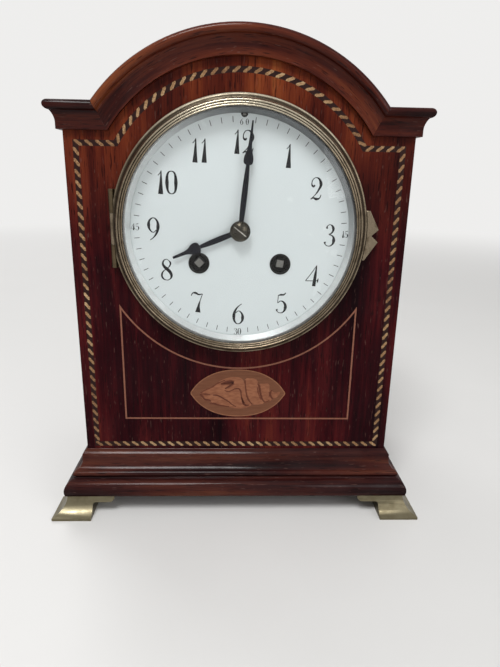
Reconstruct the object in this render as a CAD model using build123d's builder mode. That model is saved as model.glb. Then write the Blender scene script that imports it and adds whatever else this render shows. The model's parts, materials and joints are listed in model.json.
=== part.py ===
from build123d import *
import os
from collections import namedtuple
from math import acos, atan2, cos, hypot, pi, radians, sin, sqrt, tan

os.makedirs("parts", exist_ok=True)

# Inlaid arch-top mantel clock with an eight-day striking movement.
# Millimetres, +Z up, front facing -Y, origin on the floor under the middle of the bounding box.

# Case carcass
case_width = 196.8
case_depth = 120.0
panel_thickness = 10.0
back_thickness = 8.0
roof_thickness = 6.0
base_board_thickness = 10.0
shoulder_rise = 210.5
arch_rise = 146.2
arch_radius = 103.3

# Cornice under the roof edge, base moulding and plinth: heights, and projections from the case faces
cornice_height = 14.8
cornice_fillet = 2.9
cornice_fillet_height = 3.0
cornice_nose = 7.7
cornice_nose_height = 5.2
base_height = 17.0
base_cap = 0.8
base_cap_height = 3.1
base_step = 3.0
base_band_height = 4.3
base_nose = 8.3
base_nose_height = 3.9
plinth_height = 11.3
plinth_top = 8.0
plinth_nose = 13.7
plinth_nose_height = 3.6
plinth_foot = 13.0
plinth_fillet_height = 0.8

# Cast bracket feet
foot_height = 13.2
foot_projection = 20.5
foot_neck = 12.0
foot_toe_height = 1.6
foot_neck_height = 1.0
foot_pad_inset = 4.4
foot_arm_inset = 18.4
foot_tip_height = 1.0
foot_tip_round = 3.2
foot_arm_height = 4.4
foot_arm_fillet = 1.8
foot_screw_place = 4.0
screw_radius = 1.6
screw_head_radius = 3.2
screw_head_height = 2.0
screw_recess = 3.0
screw_bite = 8.0

# Inlay let into the front panel
inlay_depth = 1.2
rope_margin = 5.0
rope_width = 3.2
rope_foot = 1.5
line_width = 1.0
line_margin = 25.8
line_foot = 21.0
line_arc_gap = 13.1
patera_width = 61.0
patera_height = 32.6
patera_gap = 0.4
patera_flank = 0.7
patera_swell = 0.64
patera_point = 0.25

# Dial opening: fixed seat ring, dial, hinged bezel and glass
dial_rise = 142.5
dial_radius = 67.0
dial_thickness = 1.2
dial_proud = 1.0
dial_ledge = 2.5
seat_wall = 1.3
flange_width = 4.2
flange_thickness = 2.0
fit_gap = 0.3
bezel_wall = 4.75
bezel_edge = 1.3
bezel_rim_height = 1.7
bezel_rim_width = 0.6
bezel_cove_height = 8.4
bezel_cove_width = 2.4
bezel_roll_height = 10.7
bezel_lip_width = 2.75
bezel_lip_height = 9.5
bead_radius = 0.6
bead_count = 2
glass_rise = 7.2
glass_thickness = 2.0
glass_play = 0.25
sight_flange = 0.8
sight_drop = 0.5
sight_slope = 2.0
sight_wall = 1.0

# Bezel hinge and pull tab
knuckle_radius = 1.8
hinge_pin_radius = 0.9
hinge_length = 44.5
middle_knuckle = 17.6
knuckle_gap = 0.2
hinge_inset = 0.7
leaf_width = 5.3
tab_length = 28.8
tab_reach = 7.0
tab_shoulder = 1.5
tab_drop = 1.7
tab_notch = 4.0
tab_point = 7.0
tab_thickness = 2.0

# Back opening: fixed ring and hinged door
door_thickness = 1.6
door_crown = 1.6
door_crown_radius = 58.0
door_knob_radius = 4.0
door_knob_height = 2.4
door_knob_inset = 4.5
back_spigot = 10.0

# Movement frame
plate_depth = 9.0
plate_radius = 54.0
plate_thickness = 2.5
plate_gap = 34.0
pillar_radius = 3.2
pillar_circle = 49.0
pillar_angles = (39, 141, 256, 284)
lug_width = 11.0
lug_angles = (45, 135, 225, 315)
lug_screw_radius = 1.1
lug_screw_head = 1.8
lug_screw_head_height = 1.4
lug_screw_length = 5.0
strap_width = 12.0
strap_thickness = 1.8
strap_block = 6.0
strap_screw_length = 14.0

# Running fits and gear form
running_gap = 0.05
end_shake = 0.15
arbor_radius = 0.9
pivot_radius = 0.7
centre_arbor_radius = 1.6
pressure_angle = radians(30)
addendum = 0.8
dedendum = 0.95
tooth_share = 0.88
wheel_rim = 2.2
wheel_hub = 3.0
spoke_width = 1.6
wheel_width = 1.5

# Going train: teeth, leaves and modules, from the barrel to the escape wheel
winding_spacing = 48.2
winding_drop = 19.4
barrel_teeth = 78
barrel_module = 0.55
intermediate_leaves = 10
intermediate_teeth = 75
intermediate_module = 0.45
centre_leaves = 10
centre_teeth = 84
centre_module = 0.40
third_leaves = 7
third_teeth = 77
third_module = 0.38
escape_leaves = 7
escape_teeth = 38
third_direction = radians(75)

# Strike train, from its barrel to the fly
second_leaves = 10
second_teeth = 72
second_from_centre = 21.5
pin_leaves = 10
pin_teeth = 60
pin_module = 0.42
warning_leaves = 8
warning_teeth = 56
warning_module = 0.36
fly_leaves = 7
pin_direction = radians(92)
warning_direction = radians(60)
fly_direction = radians(170)
lifting_pins = 10
lifting_pin_radius = 0.7
lifting_pin_inset = 1.1
lifting_pin_length = 2.2

# Levels of the wheels, measured back from the inside of the front plate
centre_level = 1.5
second_level = 4.8
barrel_level = 7.5
escape_level = 7.0
warning_level = 12.0
fan_level = 14.8
third_level = 18.0
pin_level = 21.5
pinion_side = 0.9

# Barrels, winding arbors and springs
drum_radius = 19.0
drum_wall = 1.2
drum_length = 17.0
great_wheel_width = 2.5
winding_arbor_radius = 3.0
winding_pivot_radius = 2.4
winding_square = 4.2
going_square_turn = -9.0
strike_square_turn = 44.0
winding_end_depth = 0.5
ratchet_teeth = 24
ratchet_radius = 8.0
ratchet_width = 1.4
ratchet_tooth = 1.2
spring_turns = 6
spring_strip = 0.6
spring_pitch = 1.9

# Escapement, pendulum and regulator
escape_radius = 8.0
escape_tooth = 1.6
pallet_rise = 12.0
pallet_gap = 0.9
pallet_nose = 1.6
pallet_span = radians(50)
pallet_width = 3.0
crutch_length = 22.0
crutch_width = 2.0
crutch_fork = 3.2
pendulum_plane = 8.0
pendulum_length = 125.0
pendulum_rod_radius = 1.2
suspension_length = 10.0
suspension_width = 4.0
suspension_strip = 0.2
suspension_gap = 0.3
bob_radius = 17.0
bob_thickness = 9.0
bob_edge = 3.0
rating_nut_radius = 3.5
rating_nut_height = 3.0
rating_nut_seat = 1.0
cock_width = 12.0
cock_depth = 12.0
cock_wall = 4.0
regulator_rise = 63.5
regulator_side = 1.7
regulator_radius = 1.4
regulator_hole_radius = 2.0
regulator_square = 1.7
regulator_square_length = 3.0

# Motion work and hands
cannon_leaves = 14
minute_teeth = 42
minute_module = 0.50
minute_leaves = 10
hour_teeth = 40
motion_direction = radians(90)
motion_wheel_width = 1.5
hour_wheel_depth = 2.2
minute_wheel_depth = 5.6
hour_pipe_radius = 3.2
cannon_radius = 2.0
dial_hole_radius = 4.2
hand_thickness = 0.6
hour_hand_proud = 3.0
minute_hand_proud = 5.0
hand_neck = 2.0
hand_swell = 3.3
swell_share = 0.42
pear_round = 0.49
pear_end = 2.0
hour_hand_length = 42.4
hour_hand_angle = 247.6
hour_boss_radius = 4.8
hour_pear_at = 28.7
hour_pear_width = 7.0
hour_pear_length = 7.2
hour_tip_width = 1.4
minute_hand_length = 60.0
minute_hand_angle = 6.0
minute_boss_radius = 4.2
minute_pear_at = 39.4
minute_pear_width = 5.4
minute_pear_length = 8.4
minute_tip_width = 0.8
collet_radius = 5.9
collet_height = 3.6
collet_edge = 0.8
bush_radius = 6.2
bush_wall = 1.0
bush_lip = 0.4

# Strike work behind the movement
fan_radius = 5.5
fan_length = 5.7
fan_strip = 0.5
hammer_at = (-44.0, 8.0)
hammer_plane = 24.0
hammer_arm_width = 2.4
hammer_head_radius = 3.5
hammer_head_length = 8.0
hammer_gap = 0.6
gong_at = (0.0, -75.0)
gong_radius = 34.0
gong_wire_radius = 1.2
gong_pitch = 5.0
gong_half_turns = 6
gong_stem = 12.0
gong_block_width = 12.0

# Heights and places that follow from the sizes above
half_width = case_width / 2
plinth_z = foot_height
carcass_z = plinth_z + plinth_height
base_z = carcass_z + base_height
dial_z = base_z + dial_rise
arch_z = base_z + arch_rise
shoulder_z = base_z + shoulder_rise
cornice_z = shoulder_z - cornice_height
door_base = flange_thickness + fit_gap
back_overhang = door_base + door_thickness + door_crown + door_knob_height
face_y = foot_projection - (foot_projection + case_depth + back_overhang) / 2
back_y = face_y + case_depth
spigot_radius = dial_radius + seat_wall
ring_hole_radius = spigot_radius + fit_gap
flange_radius = spigot_radius + flange_width
bezel_radius = flange_radius + bezel_edge
bezel_bore = bezel_radius - bezel_wall
ledge_radius = dial_radius - dial_ledge
plate_inside = plate_depth + plate_thickness
plate_back = plate_inside + plate_gap
movement_back = plate_back + plate_thickness
screw_circle = (ledge_radius + spigot_radius) / 2

Gear = namedtuple("Gear", "teeth module phase start width")


def upright(depth):
    """A plane facing forward, this far behind the case front, with its origin on the floor."""
    return Plane.XZ.offset(-(face_y + depth))


def on_arbor(place, depth, turn=0):
    """A plane facing forward at this depth, centred on an arbor placed from the dial centre, and turned."""
    origin = (place[0], face_y + depth, dial_z + place[1])
    return Plane(origin=origin, x_dir=(cos(turn), 0, sin(turn)), z_dir=(0, -1, 0))


def dome_drop(span, rise, radius):
    """How far a round dome of this span and rise has dropped at a radius."""
    sphere = (span**2 + rise**2) / (2 * rise)
    return sphere - sqrt(sphere**2 - radius**2)


def polar(place, distance, angle):
    return (place[0] + distance * cos(angle), place[1] + distance * sin(angle))


def between(first, first_reach, second, second_reach, side):
    """The point at a reach from each of two places, on the given side of the line that joins them."""
    apart = hypot(second[0] - first[0], second[1] - first[1])
    along = (first_reach**2 - second_reach**2 + apart**2) / (2 * apart)
    away = side * sqrt(first_reach**2 - along**2)
    line = atan2(second[1] - first[1], second[0] - first[0])
    return polar(polar(first, along, line), away, line + pi / 2)


def rod(place, radius, start, end):
    """A round rod along an arbor, between two depths."""
    with BuildSketch(on_arbor(place, end)) as section:
        Circle(radius)
    extrude(section.sketch, amount=end - start)


def bore(place, radius, start, end):
    with BuildSketch(on_arbor(place, end)) as section:
        Circle(radius)
    extrude(section.sketch, amount=end - start, mode=Mode.SUBTRACT)


def gear_points(gear):
    """The outline of a spur gear with involute flanks, about its own centre."""
    pitch = gear.teeth * gear.module / 2
    base = pitch * cos(pressure_angle)
    root = pitch - dedendum * gear.module
    tip = pitch + addendum * gear.module
    steps = 2 if root > base else 4

    def half_angle(radius):
        slope = acos(min(1, base / radius))
        pitch_slope = tan(pressure_angle) - pressure_angle
        return pi / (2 * gear.teeth) * tooth_share + pitch_slope - (tan(slope) - slope)

    start = max(root, base)
    radii = [start + (tip - start) * step / steps for step in range(steps + 1)]
    flank = [(radius, half_angle(radius)) for radius in radii]
    if root < base:
        flank.insert(0, (root, half_angle(base)))
    points = []
    for tooth in range(gear.teeth):
        middle = gear.phase + 2 * pi * tooth / gear.teeth
        points += [polar((0, 0), radius, middle - half) for radius, half in flank]
        points += [polar((0, 0), radius, middle + half) for radius, half in reversed(flank)]
    return points


def saw_points(teeth, tip, depth):
    """The outline of a wheel with pointed teeth that lean one way."""
    points = []
    step = 2 * pi / teeth
    for tooth in range(teeth):
        points.append(polar((0, 0), tip - depth, tooth * step))
        points.append(polar((0, 0), tip, (tooth + 0.75) * step))
        points.append(polar((0, 0), tip, (tooth + 0.85) * step))
    return points


def meshing(driver, place, teeth, other):
    """The phase that sets a tooth of the driver in a gap of a gear with so many teeth at another place."""
    direction = atan2(other[1] - place[1], other[0] - place[0])
    turned = driver.teeth * (direction - driver.phase) / (2 * pi)
    return direction + pi - 2 * pi / teeth * (0.5 - turned)


def toothed(place, gear, crossed=True):
    """A gear on its arbor: a wheel with four spokes, or a solid pinion."""
    with BuildSketch(on_arbor(place, gear.start + gear.width)) as blank:
        with BuildLine():
            Polyline(*gear_points(gear), close=True)
        make_face()
        if crossed:
            inside = gear.teeth * gear.module / 2 - wheel_rim
            Circle(inside, mode=Mode.SUBTRACT)
            Circle(wheel_hub)
            for angle in (0, 90):
                Rectangle(2 * inside + wheel_rim, spoke_width, rotation=angle)
    extrude(blank.sketch, amount=gear.width)


def train_arbor(place, wheel, pinion):
    """A wheel and its pinion on one arbor, pivoted in both plates."""
    with BuildPart() as arbor:
        rod(place, pivot_radius, plate_depth, movement_back)
        rod(place, arbor_radius, plate_inside + end_shake, plate_back - end_shake)
        toothed(place, wheel)
        toothed(place, pinion, crossed=False)
    return arbor


def pinion_on(wheel_start, wheel_thickness, leaves, module, phase):
    """A pinion a little wider than the wheel that drives it."""
    return Gear(leaves, module, phase, wheel_start - pinion_side, wheel_thickness + 2 * pinion_side)


def break_arch(half, bottom, shoulder, radius):
    """The case outline: upright sides, level shoulders and a round arch between them."""
    reach = sqrt(radius**2 - (shoulder - arch_z) ** 2)
    with BuildLine() as outline:
        Polyline(
            (-reach, shoulder),
            (-half, shoulder),
            (-half, bottom),
            (half, bottom),
            (half, shoulder),
            (reach, shoulder),
        )
        ThreePointArc((reach, shoulder), (0, arch_z + radius), (-reach, shoulder))
    make_face(outline.edges())


def hollow_break_arch(half, bottom, shoulder, radius, width):
    """A band of even width inside the case outline."""
    break_arch(half, bottom, shoulder, radius)
    with BuildSketch(mode=Mode.PRIVATE) as inner:
        break_arch(half - width, bottom + width, shoulder - width, radius - width)
    add(inner.sketch, mode=Mode.SUBTRACT)


def rope_band():
    hollow_break_arch(
        half_width - rope_margin,
        base_z + rope_foot,
        cornice_z - rope_margin,
        arch_radius - cornice_height - rope_margin,
        rope_width,
    )


line_half = half_width - line_margin
line_radius = flange_radius + line_arc_gap


def line_panel(inset):
    """The lower panel's outline, drawn in by an inset, with its top hollowed round the dial."""
    half = line_half - inset
    bottom = base_z + line_foot + inset
    radius = line_radius + inset
    corner = dial_z - sqrt(radius**2 - half**2)
    with BuildLine() as outline:
        Polyline((-half, corner), (-half, bottom), (half, bottom), (half, corner))
        ThreePointArc((half, corner), (0, dial_z - radius), (-half, corner))
    make_face(outline.edges())


def line_band():
    line_panel(0)
    with BuildSketch(mode=Mode.PRIVATE) as inner:
        line_panel(line_width)
    add(inner.sketch, mode=Mode.SUBTRACT)


patera_z = dial_z - line_radius - line_width - patera_gap - patera_height / 2


def patera_oval():
    """An oval with straighter flanks than an ellipse and a blunt point at each end."""
    with BuildLine() as outline:
        for half in (-patera_width / 2, patera_width / 2):
            for rise in (-patera_height / 2, patera_height / 2):
                Spline(
                    (0, patera_z + rise),
                    (patera_flank * half, patera_z + patera_swell * rise),
                    (half, patera_z),
                    tangents=((half, 0), (patera_point * half, -rise)),
                )
    make_face(outline.edges())


# Front panel: a veneered board with the dial opening and the hollows for the inlay
with BuildPart() as front_panel:
    with BuildSketch(upright(panel_thickness)):
        break_arch(half_width, carcass_z, shoulder_z - roof_thickness, arch_radius - roof_thickness)
        with Locations((0, dial_z)):
            Circle(ring_hole_radius, mode=Mode.SUBTRACT)
    extrude(amount=panel_thickness)
    for band in (rope_band, line_band, patera_oval):
        with BuildSketch(upright(inlay_depth)):
            band()
        extrude(amount=inlay_depth, mode=Mode.SUBTRACT)


def inlay(band):
    """A piece of inlay that fills its hollow flush with the panel."""
    with BuildPart() as piece:
        with BuildSketch(upright(inlay_depth)):
            band()
        extrude(amount=inlay_depth)
    return piece


rope_stringing = inlay(rope_band)
line_stringing = inlay(line_band)
shell_patera = inlay(patera_oval)

# Back panel: the same outline with a hole for the back ring
with BuildPart() as back_panel:
    with BuildSketch(upright(case_depth)):
        break_arch(half_width, carcass_z, shoulder_z - roof_thickness, arch_radius - roof_thickness)
        with Locations((0, dial_z)):
            Circle(ring_hole_radius, mode=Mode.SUBTRACT)
    extrude(amount=back_thickness)

# Roof: a bent board over the arch and shoulders, on the edges of both panels
with BuildPart() as roof_panel:
    with BuildSketch(upright(case_depth)):
        break_arch(half_width, shoulder_z - roof_thickness, shoulder_z, arch_radius)
        with BuildSketch(mode=Mode.PRIVATE) as under_roof:
            under_shoulder = shoulder_z - roof_thickness
            break_arch(half_width, carcass_z, under_shoulder, arch_radius - roof_thickness)
        add(under_roof.sketch, mode=Mode.SUBTRACT)
    extrude(amount=case_depth)


def side_board(side):
    """A side of the case between the front and back panels."""
    with BuildPart() as board:
        with BuildSketch(upright(case_depth - back_thickness)):
            middle = side * (half_width - panel_thickness / 2)
            height = shoulder_z - roof_thickness - carcass_z
            with Locations((middle, carcass_z + height / 2)):
                Rectangle(panel_thickness, height)
        extrude(amount=case_depth - back_thickness - panel_thickness)
    return board


left_side = side_board(-1)
right_side = side_board(1)

# Base board: the floor of the case, between the four walls
with BuildPart() as base_board:
    with BuildSketch(upright(case_depth - back_thickness)):
        with Locations((0, carcass_z + base_board_thickness / 2)):
            Rectangle(case_width - 2 * panel_thickness, base_board_thickness)
    extrude(amount=case_depth - back_thickness - panel_thickness)


def cornice_section(bottom):
    """The cornice in section, out from the case and up from a bottom edge: fillet, hollow, round nose."""
    hollow_top = cornice_height - cornice_nose_height
    nose_root = cornice_nose - cornice_nose_height / 2
    hollow_p = cornice_fillet + 0.3 * (nose_root - cornice_fillet)
    hollow_h = cornice_fillet_height + 0.6 * (hollow_top - cornice_fillet_height)
    with BuildLine() as outline:
        Polyline((0, bottom), (cornice_fillet, bottom), (cornice_fillet, bottom + cornice_fillet_height))
        ThreePointArc(
            (cornice_fillet, bottom + cornice_fillet_height),
            (hollow_p, bottom + hollow_h),
            (nose_root, bottom + hollow_top),
        )
        ThreePointArc(
            (nose_root, bottom + hollow_top),
            (cornice_nose, bottom + hollow_top + cornice_nose_height / 2),
            (nose_root, bottom + cornice_height),
        )
        Polyline((nose_root, bottom + cornice_height), (0, bottom + cornice_height), (0, bottom))
    make_face(outline.edges())


# Mitre between the arch and each shoulder: a plane through the inner and outer corners
cornice_inner = arch_radius - cornice_height
mitre_low = (sqrt(cornice_inner**2 - (cornice_z - arch_z) ** 2), cornice_z)
mitre_high = (sqrt(arch_radius**2 - (shoulder_z - arch_z) ** 2), shoulder_z)
mitre_slope = (mitre_high[1] - mitre_low[1]) / (mitre_high[0] - mitre_low[0])
mitre_apex = mitre_low[1] - mitre_low[0] * mitre_slope
mitre_rise = arch_z + 2 * arch_radius


def mitre_wedge(mode):
    """The space over the arch between the two mitre planes, through the cornice's projection."""
    with BuildSketch(upright(0)) as wedge:
        low, high = [(level - mitre_apex) / mitre_slope for level in (arch_z, mitre_rise)]
        with BuildLine():
            Polyline((-low, arch_z), (low, arch_z), (high, mitre_rise), (-high, mitre_rise), close=True)
        make_face()
    extrude(wedge.sketch, amount=2 * cornice_nose, mode=mode)


with BuildPart() as cornice_arch:
    with BuildSketch(Plane(origin=(0, face_y, arch_z), x_dir=(0, -1, 0), z_dir=(-1, 0, 0))):
        cornice_section(cornice_inner)
    revolve(axis=Axis((0, face_y, arch_z), (0, 1, 0)))
    mitre_wedge(Mode.INTERSECT)

# Shoulder cornice: a short front length mitred to its return along the side
with BuildPart() as cornice_right:
    start_x = mitre_low[0] - cornice_nose
    with BuildLine() as cornice_path:
        Polyline(
            (start_x, face_y, cornice_z),
            (half_width, face_y, cornice_z),
            (half_width, back_y, cornice_z),
        )
    with BuildSketch(Plane(origin=(start_x, face_y, cornice_z), x_dir=(0, -1, 0), z_dir=(-1, 0, 0))):
        cornice_section(0)
    sweep(path=cornice_path.line, transition=Transition.RIGHT)
    mitre_wedge(Mode.SUBTRACT)

with BuildPart() as cornice_left:
    mirror(cornice_right.part, about=Plane.YZ)


def skirt(height, section):
    """A moulding round the front and both sides at a height, square at the back."""
    with BuildLine() as path:
        Polyline(
            (-half_width, back_y, height),
            (-half_width, face_y, height),
            (half_width, face_y, height),
            (half_width, back_y, height),
        )
    with BuildSketch(Plane(origin=(-half_width, back_y, height), x_dir=(-1, 0, 0), z_dir=(0, 1, 0))) as end:
        section()
    sweep(end.sketch, path=path.line, transition=Transition.RIGHT)


def base_section():
    """The base moulding in section: a round nose, a hollow, a flat band and a hollow cap under the panel."""
    nose_root = base_nose - base_nose_height / 2
    cap_z = base_height - base_cap_height
    band_z = cap_z - base_band_height
    hollow_p = base_step + 0.3 * (nose_root - base_step)
    hollow_h = base_nose_height + 0.4 * (band_z - base_nose_height)
    cap_p = base_cap + 0.35 * (base_step - base_cap)
    cap_h = cap_z + 0.45 * base_cap_height
    with BuildLine() as outline:
        Polyline((0, base_height), (0, 0), (nose_root, 0))
        ThreePointArc((nose_root, 0), (base_nose, base_nose_height / 2), (nose_root, base_nose_height))
        ThreePointArc((nose_root, base_nose_height), (hollow_p, hollow_h), (base_step, band_z))
        Line((base_step, band_z), (base_step, cap_z))
        ThreePointArc((base_step, cap_z), (cap_p, cap_h), (base_cap, base_height))
        Line((base_cap, base_height), (0, base_height))
    make_face(outline.edges())


# Base moulding: front and side lengths mitred at the corners
with BuildPart() as base_moulding:
    skirt(carcass_z, base_section)
    for side in (-1, 1):
        corner = Plane(origin=(side * half_width, face_y, 0), z_dir=(side, 1, 0))
        split(bisect_by=corner, keep=Keep.BOTH)


def plinth_section():
    """The plinth's edge in section: a round nose under a fillet."""
    round_end = plinth_height - plinth_fillet_height
    with BuildLine() as outline:
        Polyline((0, plinth_height), (0, 0), (plinth_foot, 0))
        ThreePointArc((plinth_foot, 0), (plinth_nose, plinth_nose_height), (plinth_top, round_end))
        Polyline((plinth_top, round_end), (plinth_top, plinth_height), (0, plinth_height))
    make_face(outline.edges())


foot_screw_x = half_width + foot_screw_place
front_screw_y = face_y - foot_screw_place
rear_screw_y = back_y - foot_arm_inset / 2
foot_screw_places = [(side * foot_screw_x, y) for side in (-1, 1) for y in (front_screw_y, rear_screw_y)]

# Plinth: a board with a moulded edge, drilled for the foot screws
with BuildPart() as plinth:
    skirt(plinth_z, plinth_section)
    with BuildSketch(Plane.XY.offset(plinth_z)):
        with Locations((0, (face_y + back_y) / 2)):
            Rectangle(case_width, case_depth)
    extrude(amount=plinth_height)
    with BuildSketch(Plane.XY.offset(plinth_z)):
        with Locations(*foot_screw_places):
            Circle(screw_radius)
    extrude(amount=screw_bite, mode=Mode.SUBTRACT)


def foot_section():
    """A foot in section: an inner block, a spread toe and a hollow neck under the plinth."""
    neck_z = foot_height - foot_neck_height
    hollow_p = foot_neck + 0.3 * (foot_projection - foot_neck)
    hollow_h = foot_toe_height + 0.4 * (neck_z - foot_toe_height)
    with BuildLine() as outline:
        Polyline(
            (-foot_pad_inset, foot_height),
            (-foot_pad_inset, 0),
            (foot_projection, 0),
            (foot_projection, foot_toe_height),
        )
        ThreePointArc((foot_projection, foot_toe_height), (hollow_p, hollow_h), (foot_neck, neck_z))
        Polyline((foot_neck, neck_z), (foot_neck, foot_height), (-foot_pad_inset, foot_height))
    make_face(outline.edges())


def bracket_cut(plane):
    """The space under a foot's arm, drawn from the arm's rounded tip to the upright edge of its pad."""
    reach = foot_arm_inset - foot_pad_inset
    tip_z = foot_height - foot_tip_height
    arm_z = foot_height - foot_arm_height
    corner = 1 - sqrt(0.5)
    with BuildSketch(plane) as hollow:
        with BuildLine():
            Polyline(
                (0, tip_z),
                (-foot_arm_inset, tip_z),
                (-foot_arm_inset, -foot_height),
                (reach, -foot_height),
                (reach, arm_z - foot_arm_fillet),
            )
            ThreePointArc(
                (reach, arm_z - foot_arm_fillet),
                (reach - corner * foot_arm_fillet, arm_z - corner * foot_arm_fillet),
                (reach - foot_arm_fillet, arm_z),
            )
            Line((reach - foot_arm_fillet, arm_z), (foot_tip_round, arm_z))
            ThreePointArc(
                (foot_tip_round, arm_z),
                (corner * foot_tip_round, arm_z + corner * (tip_z - arm_z)),
                (0, tip_z),
            )
        make_face()
    extrude(hollow.sketch, amount=2 * (foot_projection + foot_arm_inset), both=True, mode=Mode.SUBTRACT)


def foot_screw_hole(place):
    for radius, depth in ((screw_radius, foot_height), (screw_head_radius + fit_gap, screw_recess)):
        with BuildSketch(Plane.XY) as hole:
            with Locations(place):
                Circle(radius)
        extrude(hole.sketch, amount=depth, mode=Mode.SUBTRACT)


def side_foot_cut(y, towards):
    """The hollow under an arm along the right side of the case."""
    bracket_cut(Plane(origin=(half_width, y, 0), x_dir=(0, towards, 0), z_dir=(towards, 0, 0)))


# Front foot on the right: an arm along the front and one along the side, mitred at the corner
with BuildPart() as front_right_foot:
    arm_x = half_width - foot_arm_inset
    arm_y = face_y + foot_arm_inset
    with BuildLine() as foot_path:
        Polyline((arm_x, face_y, 0), (half_width, face_y, 0), (half_width, arm_y, 0))
    with BuildSketch(Plane(origin=(arm_x, face_y, 0), x_dir=(0, -1, 0), z_dir=(-1, 0, 0))):
        foot_section()
    sweep(path=foot_path.line, transition=Transition.RIGHT)
    bracket_cut(Plane(origin=(arm_x, face_y, 0), x_dir=(1, 0, 0), z_dir=(0, -1, 0)))
    side_foot_cut(arm_y, -1)
    foot_screw_hole((foot_screw_x, front_screw_y))

# Rear foot on the right: one arm along the side, square at the back
with BuildPart() as rear_right_foot:
    rear_length = foot_arm_inset + foot_projection
    with BuildSketch(Plane(origin=(half_width, back_y, 0), x_dir=(1, 0, 0), z_dir=(0, -1, 0))):
        foot_section()
    extrude(amount=rear_length)
    side_foot_cut(back_y - rear_length, 1)
    foot_screw_hole((foot_screw_x, rear_screw_y))

with BuildPart() as front_feet:
    add(front_right_foot.part)
    mirror(front_right_foot.part, about=Plane.YZ)

with BuildPart() as rear_feet:
    add(rear_right_foot.part)
    mirror(rear_right_foot.part, about=Plane.YZ)

# Foot screws: heads in the recesses under the feet, shanks up into the plinth
with BuildPart() as foot_screws:
    with BuildSketch(Plane.XY.offset(screw_recess - screw_head_height)):
        with Locations(*foot_screw_places):
            Circle(screw_head_radius)
    extrude(amount=screw_head_height)
    with BuildSketch(Plane.XY.offset(screw_recess)):
        with Locations(*foot_screw_places):
            Circle(screw_radius)
    extrude(amount=foot_height - screw_recess + screw_bite)

# Turned brass: sections are drawn as radius against height proud of the case face
dial_section = Plane(origin=(0, face_y, dial_z), x_dir=(1, 0, 0), z_dir=(0, 0, -1))
back_section = Plane(origin=(0, back_y, dial_z), x_dir=(1, 0, 0), z_dir=(0, 0, 1))
dial_axis = Axis((0, face_y, dial_z), (0, 1, 0))
dial_back = dial_thickness - dial_proud
hinge_x = bezel_radius - hinge_inset
bezel_hinge_y = face_y - door_base
door_hinge_y = back_y + door_base


def turned(section, points):
    """A ring or disc turned about the dial axis."""
    with BuildSketch(section) as profile:
        with BuildLine():
            Polyline(*points, close=True)
        make_face()
    revolve(profile.sketch, axis=dial_axis)


def upright_pin(x, y, low, high, radius, mode=Mode.ADD):
    """An upright cylinder between two heights from the dial centre."""
    with BuildSketch(Plane.XY.offset(dial_z + low)) as section:
        with Locations((x, y)):
            Circle(radius)
    extrude(section.sketch, amount=high - low, mode=mode)


def fixed_knuckles(x, y, leaf_y):
    """The two outer knuckles of a hinge, on leaves from the flange, with room for the middle one."""
    inner_end = middle_knuckle / 2 + knuckle_gap
    towards = -1 if x > 0 else 1
    for low, high in ((-hinge_length / 2, -inner_end), (inner_end, hinge_length / 2)):
        with BuildSketch(Plane.XY.offset(dial_z + low)) as leaf:
            with Locations((x + towards * leaf_width / 2, leaf_y)):
                Rectangle(leaf_width, flange_thickness)
        extrude(leaf.sketch, amount=high - low)
        upright_pin(x, y, low, high, knuckle_radius)
    upright_pin(x, y, -inner_end, inner_end, knuckle_radius + fit_gap, Mode.SUBTRACT)
    upright_pin(x, y, -hinge_length / 2, hinge_length / 2, hinge_pin_radius, Mode.SUBTRACT)


def moving_knuckle(x, y):
    """The middle knuckle of a hinge, with the leaf edge cut clear of the outer ones."""
    middle_end = middle_knuckle / 2
    for low, high in ((-hinge_length / 2, -middle_end), (middle_end, hinge_length / 2)):
        upright_pin(x, y, low - knuckle_gap, high + knuckle_gap, knuckle_radius + fit_gap, Mode.SUBTRACT)
    upright_pin(x, y, -middle_end, middle_end, knuckle_radius)
    upright_pin(x, y, -middle_end, middle_end, hinge_pin_radius + running_gap, Mode.SUBTRACT)


# Seat ring: flange on the panel, spigot in its hole and a ledge behind the dial
with BuildPart() as bezel_seat_ring:
    turned(
        dial_section,
        [
            (ledge_radius, -dial_back),
            (ledge_radius, -plate_depth),
            (spigot_radius, -plate_depth),
            (spigot_radius, 0),
            (flange_radius, 0),
            (flange_radius, flange_thickness),
            (dial_radius + fit_gap, flange_thickness),
            (dial_radius + fit_gap, -dial_back),
        ],
    )
    fixed_knuckles(-hinge_x, bezel_hinge_y, face_y - flange_thickness / 2)
    for angle in lug_angles:
        place = polar((0, 0), screw_circle, radians(angle))
        bore(place, lug_screw_radius, plate_depth - lug_screw_length + plate_thickness, plate_depth)
    bore((regulator_side, regulator_rise), regulator_hole_radius, dial_back, plate_depth)

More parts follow.
